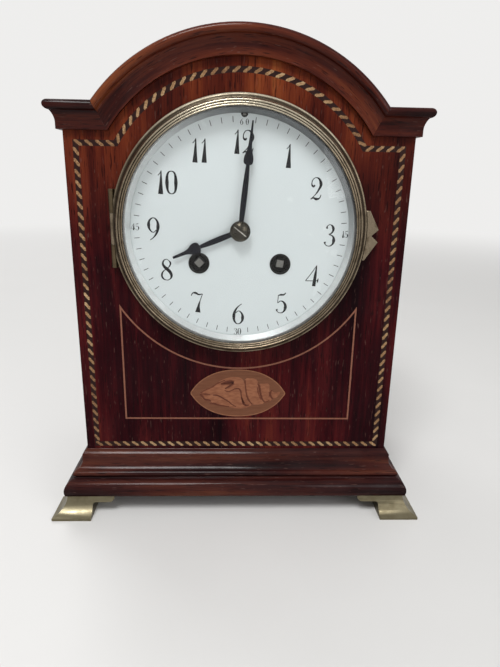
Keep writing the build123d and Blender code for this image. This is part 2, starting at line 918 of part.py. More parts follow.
# Bezel: outer rim, dark hollow, round roll and two beads over the lip that holds the glass
lip_radius = bezel_bore - bezel_lip_width
with BuildPart() as bezel_ring:
    rim_top = door_base + bezel_rim_height
    cove_start = bezel_radius - bezel_rim_width
    cove_end = cove_start - bezel_cove_width
    bead_height = bezel_lip_height + bead_radius
    bead_start = lip_radius + 2 * bead_count * bead_radius
    with BuildSketch(dial_section):
        with BuildLine():
            Polyline(
                (lip_radius, bead_height),
                (lip_radius, bezel_lip_height),
                (bezel_bore, bezel_lip_height),
                (bezel_bore, door_base),
                (bezel_radius, door_base),
                (bezel_radius, rim_top),
                (cove_start, rim_top),
            )
            ThreePointArc(
                (cove_start, rim_top),
                (cove_start - 0.6 * bezel_cove_width, rim_top + 0.3 * (bezel_cove_height - rim_top)),
                (cove_end, bezel_cove_height),
            )
            ThreePointArc(
                (cove_end, bezel_cove_height),
                ((cove_end + bead_start) / 2, bezel_roll_height),
                (bead_start, bead_height),
            )
            for bead in range(bead_count):
                bead_at = lip_radius + (2 * bead + 1) * bead_radius
                ThreePointArc(
                    (bead_at + bead_radius, bead_height),
                    (bead_at, bead_height + bead_radius),
                    (bead_at - bead_radius, bead_height),
                )
        make_face()
    revolve(axis=dial_axis)
    moving_knuckle(-hinge_x, bezel_hinge_y)

# Glass: a domed disc held behind the lip
glass_radius = bezel_bore - glass_play
glass_top = bezel_lip_height - glass_play / 2 + dome_drop(glass_radius, glass_rise, lip_radius)
with BuildPart() as bezel_glass:
    with BuildSketch(dial_section):
        edge = glass_top - glass_rise
        half_sag = dome_drop(glass_radius, glass_rise, glass_radius / 2)
        with BuildLine():
            ThreePointArc((0, glass_top), (glass_radius / 2, glass_top - half_sag), (glass_radius, edge))
            Line((glass_radius, edge), (glass_radius, edge - glass_thickness))
            ThreePointArc(
                (glass_radius, edge - glass_thickness),
                (glass_radius / 2, glass_top - half_sag - glass_thickness),
                (0, glass_top - glass_thickness),
            )
            Line((0, glass_top - glass_thickness), (0, glass_top))
        make_face()
    revolve(axis=dial_axis)

# Sight ring: a plated cone that holds the glass and slopes down to the dial
with BuildPart() as sight_ring:
    sight_top = glass_top - glass_rise - glass_thickness - glass_play
    sight_foot = dial_proud + sight_drop
    sight_mouth = lip_radius - bead_radius
    turned(
        dial_section,
        [
            (bezel_bore, sight_top - sight_flange),
            (bezel_bore, sight_top),
            (sight_mouth, sight_top),
            (sight_mouth - sight_slope, sight_foot),
            (sight_mouth - sight_slope + sight_wall, sight_foot),
            (sight_mouth + sight_wall, sight_top - sight_flange),
        ],
    )

# Pull tab: a notched finger piece on the bezel's right edge
with BuildPart() as bezel_pull_tab:
    with BuildSketch(on_arbor((0, 0), -door_base)):
        with BuildLine():
            root_x = sqrt(bezel_radius**2 - (tab_length / 2 + tab_drop) ** 2)
            tip_x = bezel_radius + tab_reach
            notch_x = bezel_radius + tab_reach - tab_notch
            Polyline(
                (root_x - tab_shoulder, -tab_drop - tab_length / 2),
                (root_x + tab_shoulder, -tab_drop - tab_length / 2),
                (tip_x, -tab_drop - tab_point / 2),
                (notch_x, -tab_drop),
                (tip_x, -tab_drop + tab_point / 2),
                (root_x + 2 * tab_shoulder, -tab_drop + tab_length / 2),
                (root_x - tab_shoulder, -tab_drop + tab_length / 2),
                close=True,
            )
        make_face()
        Circle(bezel_radius, mode=Mode.SUBTRACT)
    extrude(amount=tab_thickness)

# Dial: an enamelled disc with holes for the hands, the winding squares and the regulator
winding_places = [(side * winding_spacing / 2, -winding_drop) for side in (-1, 1)]
bush_hole = bush_radius - bush_wall / 2
with BuildPart() as dial:
    with BuildSketch(on_arbor((0, 0), dial_back)):
        Circle(dial_radius)
        Circle(dial_hole_radius, mode=Mode.SUBTRACT)
        with Locations(*winding_places):
            Circle(bush_hole, mode=Mode.SUBTRACT)
        with Locations((regulator_side, regulator_rise)):
            Circle(regulator_hole_radius, mode=Mode.SUBTRACT)
    extrude(amount=dial_thickness)

# Winding hole bushes: flanged rings let into the dial
with BuildPart() as winding_hole_bushes:
    for place in winding_places:
        rod(place, bush_hole, -dial_proud, dial_back)
        rod(place, bush_radius, -dial_proud - bush_lip, -dial_proud)
        bore(place, bush_radius - bush_wall, -dial_proud - bush_lip, dial_back)

# Places of the arbors, from the dial centre
centre_at = (0.0, 0.0)
strike_barrel_at, going_barrel_at = winding_places
barrel_reach = barrel_module * (barrel_teeth + intermediate_leaves) / 2
intermediate_reach = intermediate_module * (intermediate_teeth + centre_leaves) / 2
intermediate_at = between(going_barrel_at, barrel_reach, centre_at, intermediate_reach, -1)
third_at = polar(centre_at, centre_module * (centre_teeth + third_leaves) / 2, third_direction)
escape_reach = third_module * (third_teeth + escape_leaves) / 2
escape_at = (0.0, third_at[1] + sqrt(escape_reach**2 - third_at[0] ** 2))
pallet_at = (0.0, escape_at[1] + pallet_rise)
strike_reach = barrel_module * (barrel_teeth + second_leaves) / 2
second_at = between(strike_barrel_at, strike_reach, centre_at, second_from_centre, 1)
pin_at = polar(second_at, intermediate_module * (second_teeth + pin_leaves) / 2, pin_direction)
warning_at = polar(pin_at, pin_module * (pin_teeth + warning_leaves) / 2, warning_direction)
fly_at = polar(warning_at, warning_module * (warning_teeth + fly_leaves) / 2, fly_direction)
motion_reach = minute_module * (cannon_leaves + minute_teeth) / 2
minute_at = polar(centre_at, motion_reach, motion_direction)
hour_module = 2 * motion_reach / (minute_leaves + hour_teeth)

# Gears of the going train
great_start = plate_inside + barrel_level + drum_length
centre_wheel_gear = Gear(centre_teeth, centre_module, 0, plate_inside + centre_level, wheel_width)
second_start = plate_inside + second_level
centre_pinion = pinion_on(second_start, wheel_width, centre_leaves, intermediate_module, 0)
intermediate_phase = meshing(centre_pinion, centre_at, intermediate_teeth, intermediate_at)
intermediate_gear = Gear(
    intermediate_teeth, intermediate_module, intermediate_phase, second_start, wheel_width
)
intermediate_pinion = pinion_on(great_start, great_wheel_width, intermediate_leaves, barrel_module, 0)
barrel_phase = meshing(intermediate_pinion, intermediate_at, barrel_teeth, going_barrel_at)
going_great = Gear(barrel_teeth, barrel_module, barrel_phase, great_start, great_wheel_width)
third_phase = meshing(centre_wheel_gear, centre_at, third_leaves, third_at)
third_pinion = pinion_on(plate_inside + centre_level, wheel_width, third_leaves, centre_module, third_phase)
third_gear = Gear(third_teeth, third_module, 0, plate_inside + third_level, wheel_width)
escape_phase = meshing(third_gear, third_at, escape_leaves, escape_at)
escape_pinion = pinion_on(plate_inside + third_level, wheel_width, escape_leaves, third_module, escape_phase)

# Gears of the strike train
pin_pinion = pinion_on(second_start, wheel_width, pin_leaves, intermediate_module, 0)
second_phase = meshing(pin_pinion, pin_at, second_teeth, second_at)
second_gear = Gear(second_teeth, intermediate_module, second_phase, second_start, wheel_width)
second_pinion = pinion_on(great_start, great_wheel_width, second_leaves, barrel_module, 0)
strike_phase = meshing(second_pinion, second_at, barrel_teeth, strike_barrel_at)
strike_great = Gear(barrel_teeth, barrel_module, strike_phase, great_start, great_wheel_width)
pin_gear = Gear(pin_teeth, pin_module, 0, plate_inside + pin_level, wheel_width)
warning_phase = meshing(pin_gear, pin_at, warning_leaves, warning_at)
warning_pinion = pinion_on(plate_inside + pin_level, wheel_width, warning_leaves, pin_module, warning_phase)
warning_gear = Gear(warning_teeth, warning_module, 0, plate_inside + warning_level, wheel_width)
fly_phase = meshing(warning_gear, warning_at, fly_leaves, fly_at)
fly_pinion = pinion_on(plate_inside + warning_level, wheel_width, fly_leaves, warning_module, fly_phase)

# Gears of the motion work, between the dial and the front plate
cannon_pinion = pinion_on(minute_wheel_depth, motion_wheel_width, cannon_leaves, minute_module, 0)
minute_phase = meshing(cannon_pinion, centre_at, minute_teeth, minute_at)
minute_gear = Gear(minute_teeth, minute_module, minute_phase, minute_wheel_depth, motion_wheel_width)
minute_pinion_start = hour_wheel_depth - pinion_side / 2
minute_pinion_width = minute_wheel_depth - minute_pinion_start
minute_pinion = Gear(minute_leaves, hour_module, 0, minute_pinion_start, minute_pinion_width)
hour_phase = meshing(minute_pinion, minute_at, hour_teeth, centre_at)
hour_gear = Gear(hour_teeth, hour_module, hour_phase, hour_wheel_depth, motion_wheel_width)

going_places = [intermediate_at, third_at, escape_at, pallet_at]
strike_places = [second_at, pin_at, warning_at, fly_at, hammer_at]
pillar_places = [polar(centre_at, pillar_circle, radians(angle)) for angle in pillar_angles]
lug_places = [polar(centre_at, screw_circle, radians(angle)) for angle in lug_angles]
pillar_screw_radius = pillar_radius / 2


def plate_disc(depth, centre_hole):
    """A round plate drilled for the pivots, the winding arbors and the pillars."""
    with BuildSketch(on_arbor(centre_at, depth + plate_thickness)) as disc:
        Circle(plate_radius)
        with Locations(*going_places, *strike_places):
            Circle(pivot_radius + running_gap, mode=Mode.SUBTRACT)
        with Locations(*winding_places):
            Circle(winding_pivot_radius + running_gap, mode=Mode.SUBTRACT)
        with Locations(*pillar_places):
            Circle(pillar_screw_radius, mode=Mode.SUBTRACT)
        Circle(centre_hole + running_gap, mode=Mode.SUBTRACT)
    extrude(disc.sketch, amount=plate_thickness)


# Front plate: a disc with four lugs that bear on the seat ring, and the stud of the minute wheel
minute_stud_radius = pivot_radius
with BuildPart() as front_plate:
    plate_disc(plate_depth, cannon_radius)
    for angle in lug_angles:
        with BuildSketch(on_arbor(centre_at, plate_inside, radians(angle))):
            with Locations(((plate_radius + spigot_radius) / 2 - lug_width / 8, 0)):
                Rectangle(spigot_radius - plate_radius + lug_width / 4 - 2 * fit_gap, lug_width)
            with Locations((screw_circle, 0)):
                Circle(lug_screw_radius, mode=Mode.SUBTRACT)
            Circle(spigot_radius, mode=Mode.INTERSECT)
        extrude(amount=plate_thickness)
    rod(minute_at, minute_stud_radius, minute_pinion_start - end_shake, plate_depth)

with BuildPart() as back_plate:
    plate_disc(plate_back, pivot_radius)

# Pillars: turned spacers with a spigot riveted into each plate
with BuildPart() as plate_pillars:
    for place in pillar_places:
        rod(place, pillar_radius, plate_inside, plate_back)
        rod(place, pillar_screw_radius, plate_depth, movement_back)

# Lug and strap screws: four through the front plate, two through the back ring
strap_places = [(side * screw_circle, 0.0) for side in (-1, 1)]
strap_end = case_depth - back_spigot
with BuildPart() as movement_screws:
    for place in lug_places:
        rod(place, lug_screw_radius, plate_inside - lug_screw_length, plate_inside)
        rod(place, lug_screw_head, plate_inside, plate_inside + lug_screw_head_height)
    for place in strap_places:
        rod(place, lug_screw_radius, case_depth - strap_screw_length, case_depth)
        rod(place, lug_screw_head, case_depth, case_depth + lug_screw_head_height)


def spring_barrel(place, great):
    """A drum with its great wheel, and a cap pressed into the open end."""
    start = plate_inside + barrel_level
    hole = winding_arbor_radius + running_gap
    with BuildPart() as barrel:
        toothed(place, great, crossed=False)
        rod(place, drum_radius, start, great.start)
        bore(place, drum_radius - drum_wall, start, great.start)
        bore(place, hole, great.start, great.start + great.width)
        with BuildSketch(on_arbor(place, start + drum_wall)):
            Circle(drum_radius - drum_wall)
            Circle(hole, mode=Mode.SUBTRACT)
        extrude(amount=drum_wall)
    return barrel


def mainspring(place):
    """A flat spring coiled in its drum, from near the arbor out to the wall."""
    start = plate_inside + barrel_level + drum_wall + end_shake
    length = drum_length - drum_wall - 2 * end_shake
    outer = drum_radius - drum_wall - end_shake
    inner = outer - spring_turns * spring_pitch
    steps = 20 * spring_turns
    radii = [inner + spring_turns * spring_pitch * step / steps for step in range(steps + 1)]
    angles = [2 * pi * spring_turns * step / steps for step in range(steps + 1)]
    outside = [polar((0, 0), radius, angle) for radius, angle in zip(radii, angles)]
    inside = [polar((0, 0), radius - spring_strip, angle) for radius, angle in zip(radii, angles)]
    with BuildPart() as spring:
        with BuildSketch(on_arbor(place, start + length)):
            with BuildLine():
                Polyline(*outside, *reversed(inside), close=True)
            make_face()
        extrude(amount=length)
    return spring


def winding_arbor(place, square_turn):
    """A barrel arbor with its ratchet and a squared end for the key."""
    with BuildPart() as arbor:
        rod(place, winding_pivot_radius, plate_depth - ratchet_width - end_shake, movement_back)
        rod(place, winding_arbor_radius, plate_inside + end_shake, plate_back - end_shake)
        ratchet_end = plate_depth - end_shake
        with BuildSketch(on_arbor(place, ratchet_end)):
            with BuildLine():
                Polyline(*saw_points(ratchet_teeth, ratchet_radius, ratchet_tooth), close=True)
            make_face()
        extrude(amount=ratchet_width)
        square_end = ratchet_end - ratchet_width
        with BuildSketch(on_arbor(place, square_end)):
            Rectangle(winding_square, winding_square, rotation=square_turn)
        extrude(amount=square_end - winding_end_depth)
    return arbor


going_barrel = spring_barrel(going_barrel_at, going_great)
going_mainspring = mainspring(going_barrel_at)
going_winding_arbor = winding_arbor(going_barrel_at, going_square_turn)
strike_barrel = spring_barrel(strike_barrel_at, strike_great)
strike_mainspring = mainspring(strike_barrel_at)
strike_winding_arbor = winding_arbor(strike_barrel_at, strike_square_turn)

intermediate_wheel = train_arbor(intermediate_at, intermediate_gear, intermediate_pinion)
third_wheel = train_arbor(third_at, third_gear, third_pinion)
strike_second_wheel = train_arbor(second_at, second_gear, second_pinion)
warning_wheel = train_arbor(warning_at, warning_gear, warning_pinion)

# Centre wheel: its arbor runs forward through the cannon pinion to carry the minute hand
minute_tip = minute_hand_proud + hand_thickness
with BuildPart() as centre_wheel:
    rod(centre_at, pivot_radius, plate_back - end_shake, movement_back)
    rod(centre_at, cannon_radius, -minute_tip, plate_inside)
    rod(centre_at, centre_arbor_radius, plate_inside, plate_back - end_shake)
    toothed(centre_at, centre_wheel_gear)
    toothed(centre_at, centre_pinion, crossed=False)
    toothed(centre_at, cannon_pinion, crossed=False)

# Minute wheel: turns on its stud and steps the cannon pinion down to the hour wheel
with BuildPart() as minute_wheel:
    toothed(minute_at, minute_gear)
    toothed(minute_at, minute_pinion, crossed=False)
    minute_wheel_end = minute_wheel_depth + motion_wheel_width
    bore(minute_at, minute_stud_radius + running_gap, minute_pinion_start, minute_wheel_end)

# Hour wheel: its pipe turns on the centre arbor and carries the hour hand
with BuildPart() as hour_wheel:
    hour_pipe_end = hour_wheel_depth + motion_wheel_width + pinion_side / 2
    toothed(centre_at, hour_gear)
    rod(centre_at, hour_pipe_radius, -hour_hand_proud - hand_thickness, hour_pipe_end)
    bore(centre_at, cannon_radius + running_gap, -hour_hand_proud - hand_thickness, hour_pipe_end)

# Escape wheel: pointed teeth on a crossed wheel
with BuildPart() as escape_wheel:
    rod(escape_at, pivot_radius, plate_depth, movement_back)
    rod(escape_at, arbor_radius, plate_inside + end_shake, plate_back - end_shake)
    toothed(escape_at, escape_pinion, crossed=False)
    with BuildSketch(on_arbor(escape_at, plate_inside + escape_level + wheel_width)):
        with BuildLine():
            Polyline(*saw_points(escape_teeth, escape_radius, escape_tooth), close=True)
        make_face()
        escape_rim = escape_radius - escape_tooth - wheel_hub / 2
        Circle(escape_rim, mode=Mode.SUBTRACT)
        Circle(wheel_hub / 2)
        for angle in (0, 90):
            Rectangle(2 * escape_rim + wheel_hub / 2, spoke_width / 2, rotation=angle)
    extrude(amount=wheel_width)

# Pallets: an anchor over the escape wheel, with the crutch that takes the swing to the pendulum
swing_y = movement_back + pendulum_plane
with BuildPart() as pallet_anchor:
    pallet_start = plate_inside + escape_level + wheel_width / 2 - pallet_width / 2
    rod(pallet_at, pivot_radius, plate_depth, movement_back + pallet_width)
    rod(pallet_at, arbor_radius, plate_inside + end_shake, plate_back - end_shake)
    nose_radius = escape_radius + pallet_gap
    with BuildSketch(on_arbor(escape_at, pallet_start + pallet_width)):
        with BuildLine():
            low = [polar((0, 0), nose_radius, pi / 2 + side * pallet_span) for side in (1, -1)]
            high = [polar((0, 0), nose_radius + pallet_nose, pi / 2 + side * pallet_span) for side in (1, -1)]
            Polyline(low[0], high[0], (0, pallet_rise + wheel_hub), high[1], low[1])
            ThreePointArc(low[1], (0, nose_radius), low[0])
        make_face()
    extrude(amount=pallet_width)
    crutch_start = movement_back + end_shake
    with BuildSketch(on_arbor(pallet_at, crutch_start + crutch_width)):
        Circle(crutch_width)
        with Locations((0, -crutch_length / 2)):
            Rectangle(crutch_width, crutch_length)
    extrude(amount=crutch_width)
    fork_at = pallet_at[1] - crutch_length
    with BuildSketch(on_arbor((0, fork_at), swing_y + crutch_fork)):
        Rectangle(2 * pendulum_rod_radius + crutch_fork, crutch_fork)
    extrude(amount=swing_y + crutch_fork - crutch_start)
    upright_pin(
        0, face_y + swing_y, fork_at - crutch_fork, fork_at + crutch_fork, pendulum_rod_radius, Mode.SUBTRACT
    )

# Pendulum: a spring strip at the top, a rod and a heavy lens-shaped bob on its nut
bob_at = (0.0, pallet_at[1] - pendulum_length)
swing_plane_y = face_y + swing_y
with BuildPart() as pendulum_rod:
    strip_low = pallet_at[1] - suspension_length
    with BuildSketch(Plane.XY.offset(dial_z + strip_low)):
        with Locations((0, swing_plane_y)):
            Rectangle(suspension_strip, suspension_width)
    extrude(amount=suspension_length)
    upright_pin(0, swing_plane_y, bob_at[1] - bob_radius - rating_nut_height, strip_low, pendulum_rod_radius)

with BuildPart() as pendulum_bob:
    with BuildSketch(Plane(origin=(0, swing_plane_y, dial_z + bob_at[1]), x_dir=(1, 0, 0), z_dir=(0, 0, 1))):
        bob_rise = (bob_thickness - bob_edge) / 2
        bulge = bob_thickness / 2 - dome_drop(bob_radius, bob_rise, bob_radius / 2)
        with BuildLine():
            Line((0, bob_thickness / 2), (0, -bob_thickness / 2))
            ThreePointArc((0, -bob_thickness / 2), (bob_radius / 2, -bulge), (bob_radius, -bob_edge / 2))
            Line((bob_radius, -bob_edge / 2), (bob_radius, bob_edge / 2))
            ThreePointArc((bob_radius, bob_edge / 2), (bob_radius / 2, bulge), (0, bob_thickness / 2))
        make_face()
    revolve(axis=Axis((0, swing_plane_y, dial_z + bob_at[1]), (0, 1, 0)))
    nut_low = bob_at[1] - bob_radius - rating_nut_height
    bob_high = bob_at[1] + bob_radius + fit_gap
    upright_pin(0, swing_plane_y, nut_low, bob_at[1] - bob_radius + rating_nut_seat, rating_nut_radius)
    upright_pin(0, swing_plane_y, nut_low - fit_gap, bob_high, pendulum_rod_radius, Mode.SUBTRACT)

# Suspension cock: a shelf on the back plate, a post for the regulator and the chops over the spring
regulator_at = (regulator_side, regulator_rise)
with BuildPart() as suspension_cock:
    shelf_low = pallet_at[1] + cock_wall
    with BuildSketch(on_arbor(centre_at, movement_back + cock_depth)):
        with Locations((0, (shelf_low + plate_radius) / 2)):
            Rectangle(cock_width, plate_radius - shelf_low)
    extrude(amount=cock_depth)
    with BuildSketch(on_arbor(centre_at, movement_back + cock_depth)):
        with Locations((0, (plate_radius + regulator_rise + cock_wall) / 2)):
            Rectangle(cock_width, regulator_rise + cock_wall - plate_radius)
    extrude(amount=cock_depth / 2)
    chops_low = pallet_at[1] + suspension_gap
    with BuildSketch(on_arbor(centre_at, swing_y + suspension_width / 2)):
        with Locations((0, (chops_low + shelf_low) / 2)):
            Rectangle(cock_width / 2, shelf_low - chops_low)
    extrude(amount=suspension_width)
    bore(regulator_at, regulator_radius + running_gap, movement_back, movement_back + cock_depth)

# Regulator arbor: a long rod over the plates, squared at the dial for a small key
with BuildPart() as regulator_arbor:
    rod(regulator_at, regulator_radius, dial_back + regulator_square_length, movement_back + cock_depth)
    square_back = dial_back + regulator_square_length
    with BuildSketch(on_arbor(regulator_at, square_back)):
        Rectangle(regulator_square, regulator_square)
    extrude(amount=square_back)
    collar_end = movement_back + cock_depth / 2 - end_shake
    rod(regulator_at, 2 * regulator_radius, collar_end - wheel_width, collar_end)


# Hands: blued steel, flat, with a swelled shaft and a pear near the tip
def hand(angle, length, proud, boss, hole, pear_at, pear_width, pear_length, tip_width):
    """A flat hand turned clockwise from twelve by an angle."""
    neck_at = pear_at - pear_round * pear_width
    end_at = pear_at + pear_length
    with BuildPart() as piece:
        with BuildSketch(on_arbor(centre_at, -proud, -radians(angle))):
            with BuildLine():
                for side in (-0.5, 0.5):
                    neck = side * hand_neck
                    Spline((neck, 0), (side * hand_swell, swell_share * neck_at), (neck, neck_at))
                    Spline(
                        (neck, neck_at),
                        (side * pear_width, pear_at),
                        (side * pear_end, end_at),
                        tangents=((side, 0), (side * (tip_width - pear_end), length - end_at)),
                    )
                    Line((side * pear_end, end_at), (side * tip_width, length))
                for width, height in ((hand_neck, 0), (tip_width, length)):
                    Line((-width / 2, height), (width / 2, height))
            make_face()
            Circle(boss)
            Circle(hole, mode=Mode.SUBTRACT)
        extrude(amount=hand_thickness)
    return piece


hour_hand = hand(
    hour_hand_angle,
    hour_hand_length,
    hour_hand_proud,
    hour_boss_radius,
    hour_pipe_radius,
    hour_pear_at,
    hour_pear_width,
    hour_pear_length,
    hour_tip_width,
)
minute_hand = hand(
    minute_hand_angle,
    minute_hand_length,
    minute_hand_proud,
    minute_boss_radius,
    cannon_radius,
    minute_pear_at,
    minute_pear_width,
    minute_pear_length,
    minute_tip_width,
)

# Collet: a domed washer pinned over the minute hand
with BuildPart() as hand_collet:
    with BuildSketch(dial_section):
        with BuildLine():
            collet_top = minute_tip + collet_height
            collet_rim = minute_tip + collet_edge
            collet_bulge = collet_top - dome_drop(collet_radius, collet_top - collet_rim, collet_radius / 2)
            Line((0, collet_top), (0, minute_tip))
            Polyline((0, minute_tip), (collet_radius, minute_tip), (collet_radius, collet_rim))
            ThreePointArc((collet_radius, collet_rim), (collet_radius / 2, collet_bulge), (0, collet_top))
        make_face()
    revolve(axis=dial_axis)

# Pin wheel: the third strike wheel, with the pins that lift the hammer
with BuildPart() as pin_wheel:
    pin_face = pin_gear.start + wheel_width
    pin_circle = pin_teeth * pin_module / 2 - wheel_rim + lifting_pin_inset
    rod(pin_at, pivot_radius, plate_depth, movement_back)
    rod(pin_at, arbor_radius, plate_inside + end_shake, plate_back - end_shake)
    toothed(pin_at, pin_gear)
    toothed(pin_at, pin_pinion, crossed=False)
    for pin in range(lifting_pins):
        place = polar(pin_at, pin_circle, 2 * pi * pin / lifting_pins)
        rod(place, lifting_pin_radius, pin_gear.start, pin_face + lifting_pin_length)

# Fly: the air brake at the end of the strike train
with BuildPart() as fly:
    rod(fly_at, pivot_radius, plate_depth, movement_back)
    rod(fly_at, arbor_radius, plate_inside + end_shake, plate_back - end_shake)
    toothed(fly_at, fly_pinion, crossed=False)
    fan_end = plate_inside + fan_level + fan_length
    with BuildSketch(on_arbor(fly_at, fan_end)):
        Rectangle(2 * fan_radius, fan_strip)
        Circle(2 * arbor_radius - fan_strip)
    extrude(amount=fan_length)

# Gong: a coiled steel wire held at its outer end by a post on the base board
gong_y = movement_back + hammer_plane
gong_block_x = gong_at[0] - gong_radius
with BuildPart() as gong:
    with BuildLine(on_arbor(gong_at, gong_y)) as gong_path:
        radii = [gong_radius - turn * gong_pitch / 2 for turn in range(gong_half_turns + 1)]
        ends = [-radius * (-1) ** turn for turn, radius in enumerate(radii)]
        Line((ends[0], -gong_stem), (ends[0], 0))
        for turn in range(gong_half_turns):
            middle = (ends[turn] + ends[turn + 1]) / 2
            rise = abs(ends[turn] - ends[turn + 1]) / 2 * (-1) ** turn
            ThreePointArc((ends[turn], 0), (middle, rise), (ends[turn + 1], 0))
    with BuildSketch(Plane(origin=gong_path.line @ 0, z_dir=gong_path.line % 0)):
        Circle(gong_wire_radius)
    sweep(path=gong_path.line)

with BuildPart() as gong_block:
    post_foot = carcass_z + base_board_thickness
    with BuildSketch(Plane.XY.offset(post_foot)):
        with Locations((gong_block_x, face_y + gong_y)):
            Rectangle(gong_block_width, gong_block_width)
    extrude(amount=dial_z + gong_at[1] - gong_stem - post_foot)

# Hammer: an arbor in the plates, a tail by the lifting pins and an arm behind that meets the gong
head_face = gong_block_x - gong_wire_radius - hammer_gap
head_x = head_face - hammer_head_length / 2
with BuildPart() as hammer:
    tail_run = hypot(pin_at[0] - hammer_at[0], pin_at[1] - hammer_at[1])
    tail_length = tail_run - pin_circle - lifting_pin_radius - 2 * fit_gap
    tail_direction = atan2(pin_at[1] - hammer_at[1], pin_at[0] - hammer_at[0])
    rod(hammer_at, pivot_radius, plate_depth, gong_y + hammer_arm_width / 2)
    rod(hammer_at, arbor_radius, plate_inside + end_shake, plate_back - end_shake)
    with BuildSketch(on_arbor(hammer_at, pin_face + lifting_pin_length, tail_direction)):
        with Locations((tail_length / 2, 0)):
            Rectangle(tail_length, hammer_arm_width)
        Circle(2 * arbor_radius)
    extrude(amount=lifting_pin_length - fit_gap)
    arm_run = hypot(head_x - hammer_at[0], gong_at[1] - hammer_at[1])
    arm_direction = atan2(gong_at[1] - hammer_at[1], head_x - hammer_at[0])
    with BuildSketch(on_arbor(hammer_at, gong_y + hammer_arm_width / 2, arm_direction)):
        with Locations((arm_run / 2, 0)):
            Rectangle(arm_run, hammer_arm_width)
        Circle(hammer_arm_width)
    extrude(amount=hammer_arm_width)
    head_start = (head_face - hammer_head_length, face_y + gong_y, dial_z + gong_at[1])
    with BuildSketch(Plane(origin=head_start, z_dir=(1, 0, 0))):
        Circle(hammer_head_radius)
    extrude(amount=hammer_head_length)

# Straps: tie bars from the seat ring through the case to the back ring
with BuildPart() as movement_straps:
    for place in strap_places:
        with BuildSketch(on_arbor(place, strap_end)):
            Rectangle(strap_thickness, strap_width)
        extrude(amount=strap_end - plate_depth)
        with BuildSketch(on_arbor(place, strap_end)):
            Rectangle(spigot_radius - ledge_radius, strap_width)
        extrude(amount=strap_block)
        bore(place, lug_screw_radius, case_depth - strap_screw_length, strap_end)

# Back ring: flange on the back panel and spigot in its hole, with the fixed knuckles of the door
with BuildPart() as back_ring:
    turned(
        back_section,
        [
            (ledge_radius, flange_thickness),
            (ledge_radius, -back_spigot),
            (spigot_radius, -back_spigot),
            (spigot_radius, 0),
            (flange_radius, 0),
            (flange_radius, flange_thickness),
        ],
    )
    fixed_knuckles(hinge_x, door_hinge_y, back_y + flange_thickness / 2)
    for place in strap_places:
        bore(place, lug_screw_radius, case_depth - back_spigot, case_depth)
        bore(place, lug_screw_head, case_depth, case_depth + flange_thickness)

# Back door: a dished disc with its own knuckle
with BuildPart() as back_door:
    rim_top = door_base + door_thickness
    crown_top = rim_top + door_crown
    turned(
        back_section,
        [
            (0, door_base),
            (bezel_radius, door_base),
            (bezel_radius, rim_top),
            (door_crown_radius, rim_top),
            (door_crown_radius - 2 * door_crown, crown_top),
            (0, crown_top),
        ],
    )
    moving_knuckle(hinge_x, door_hinge_y)

# Back door knob: a small turned button opposite the hinge
knob_at = (door_knob_inset + door_knob_radius - door_crown_radius, 0.0)
with BuildPart() as back_door_knob:
    knob_base = case_depth + crown_top
    rod(knob_at, door_knob_radius, knob_base + door_knob_height / 2, knob_base + door_knob_height)
    rod(knob_at, door_knob_radius / 2, knob_base, knob_base + door_knob_height / 2)

# Hinge pins of the bezel and the back door
with BuildPart() as hinge_pins:
    for x, y in ((-hinge_x, bezel_hinge_y), (hinge_x, door_hinge_y)):
        upright_pin(x, y, -hinge_length / 2, hinge_length / 2, hinge_pin_radius)

pieces = {
    "front_panel": front_panel,
    "back_panel": back_panel,
    "left_side": left_side,
    "right_side": right_side,
    "roof_panel": roof_panel,
    "base_board": base_board,
    "cornice_arch": cornice_arch,
    "cornice_left": cornice_left,
    "cornice_right": cornice_right,
    "base_moulding": base_moulding,
    "plinth": plinth,
    "rope_stringing": rope_stringing,
    "line_stringing": line_stringing,
    "shell_patera": shell_patera,
    "front_feet": front_feet,
    "rear_feet": rear_feet,
    "foot_screws": foot_screws,
    "bezel_seat_ring": bezel_seat_ring,
    "bezel_ring": bezel_ring,
    "sight_ring": sight_ring,
    "bezel_glass": bezel_glass,
    "bezel_pull_tab": bezel_pull_tab,
    "hinge_pins": hinge_pins,
    "dial": dial,
    "winding_hole_bushes": winding_hole_bushes,
    "hour_hand": hour_hand,
    "minute_hand": minute_hand,
    "hand_collet": hand_collet,
    "front_plate": front_plate,
    "back_plate": back_plate,
    "plate_pillars": plate_pillars,
    "movement_screws": movement_screws,
    "movement_straps": movement_straps,
    "going_barrel": going_barrel,
    "going_mainspring": going_mainspring,
    "going_winding_arbor": going_winding_arbor,
    "intermediate_wheel": intermediate_wheel,
    "centre_wheel": centre_wheel,
    "third_wheel": third_wheel,
    "escape_wheel": escape_wheel,
    "pallet_anchor": pallet_anchor,
    "pendulum_rod": pendulum_rod,
    "pendulum_bob": pendulum_bob,
    "suspension_cock": suspension_cock,
    "regulator_arbor": regulator_arbor,
    "minute_wheel": minute_wheel,
    "hour_wheel": hour_wheel,
    "strike_barrel": strike_barrel,
    "strike_mainspring": strike_mainspring,
    "strike_winding_arbor": strike_winding_arbor,
    "strike_second_wheel": strike_second_wheel,
    "pin_wheel": pin_wheel,
    "warning_wheel": warning_wheel,
    "fly": fly,
    "hammer": hammer,
    "gong": gong,
    "gong_block": gong_block,
    "back_ring": back_ring,
    "back_door": back_door,
    "back_door_knob": back_door_knob,
}
for name, piece in pieces.items():
    piece.part.label = name
    export_step(piece.part, f"parts/{name}.step")
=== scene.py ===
import json
from math import asin, cos, pi, radians, sin

import bpy
from mathutils import Matrix, Vector


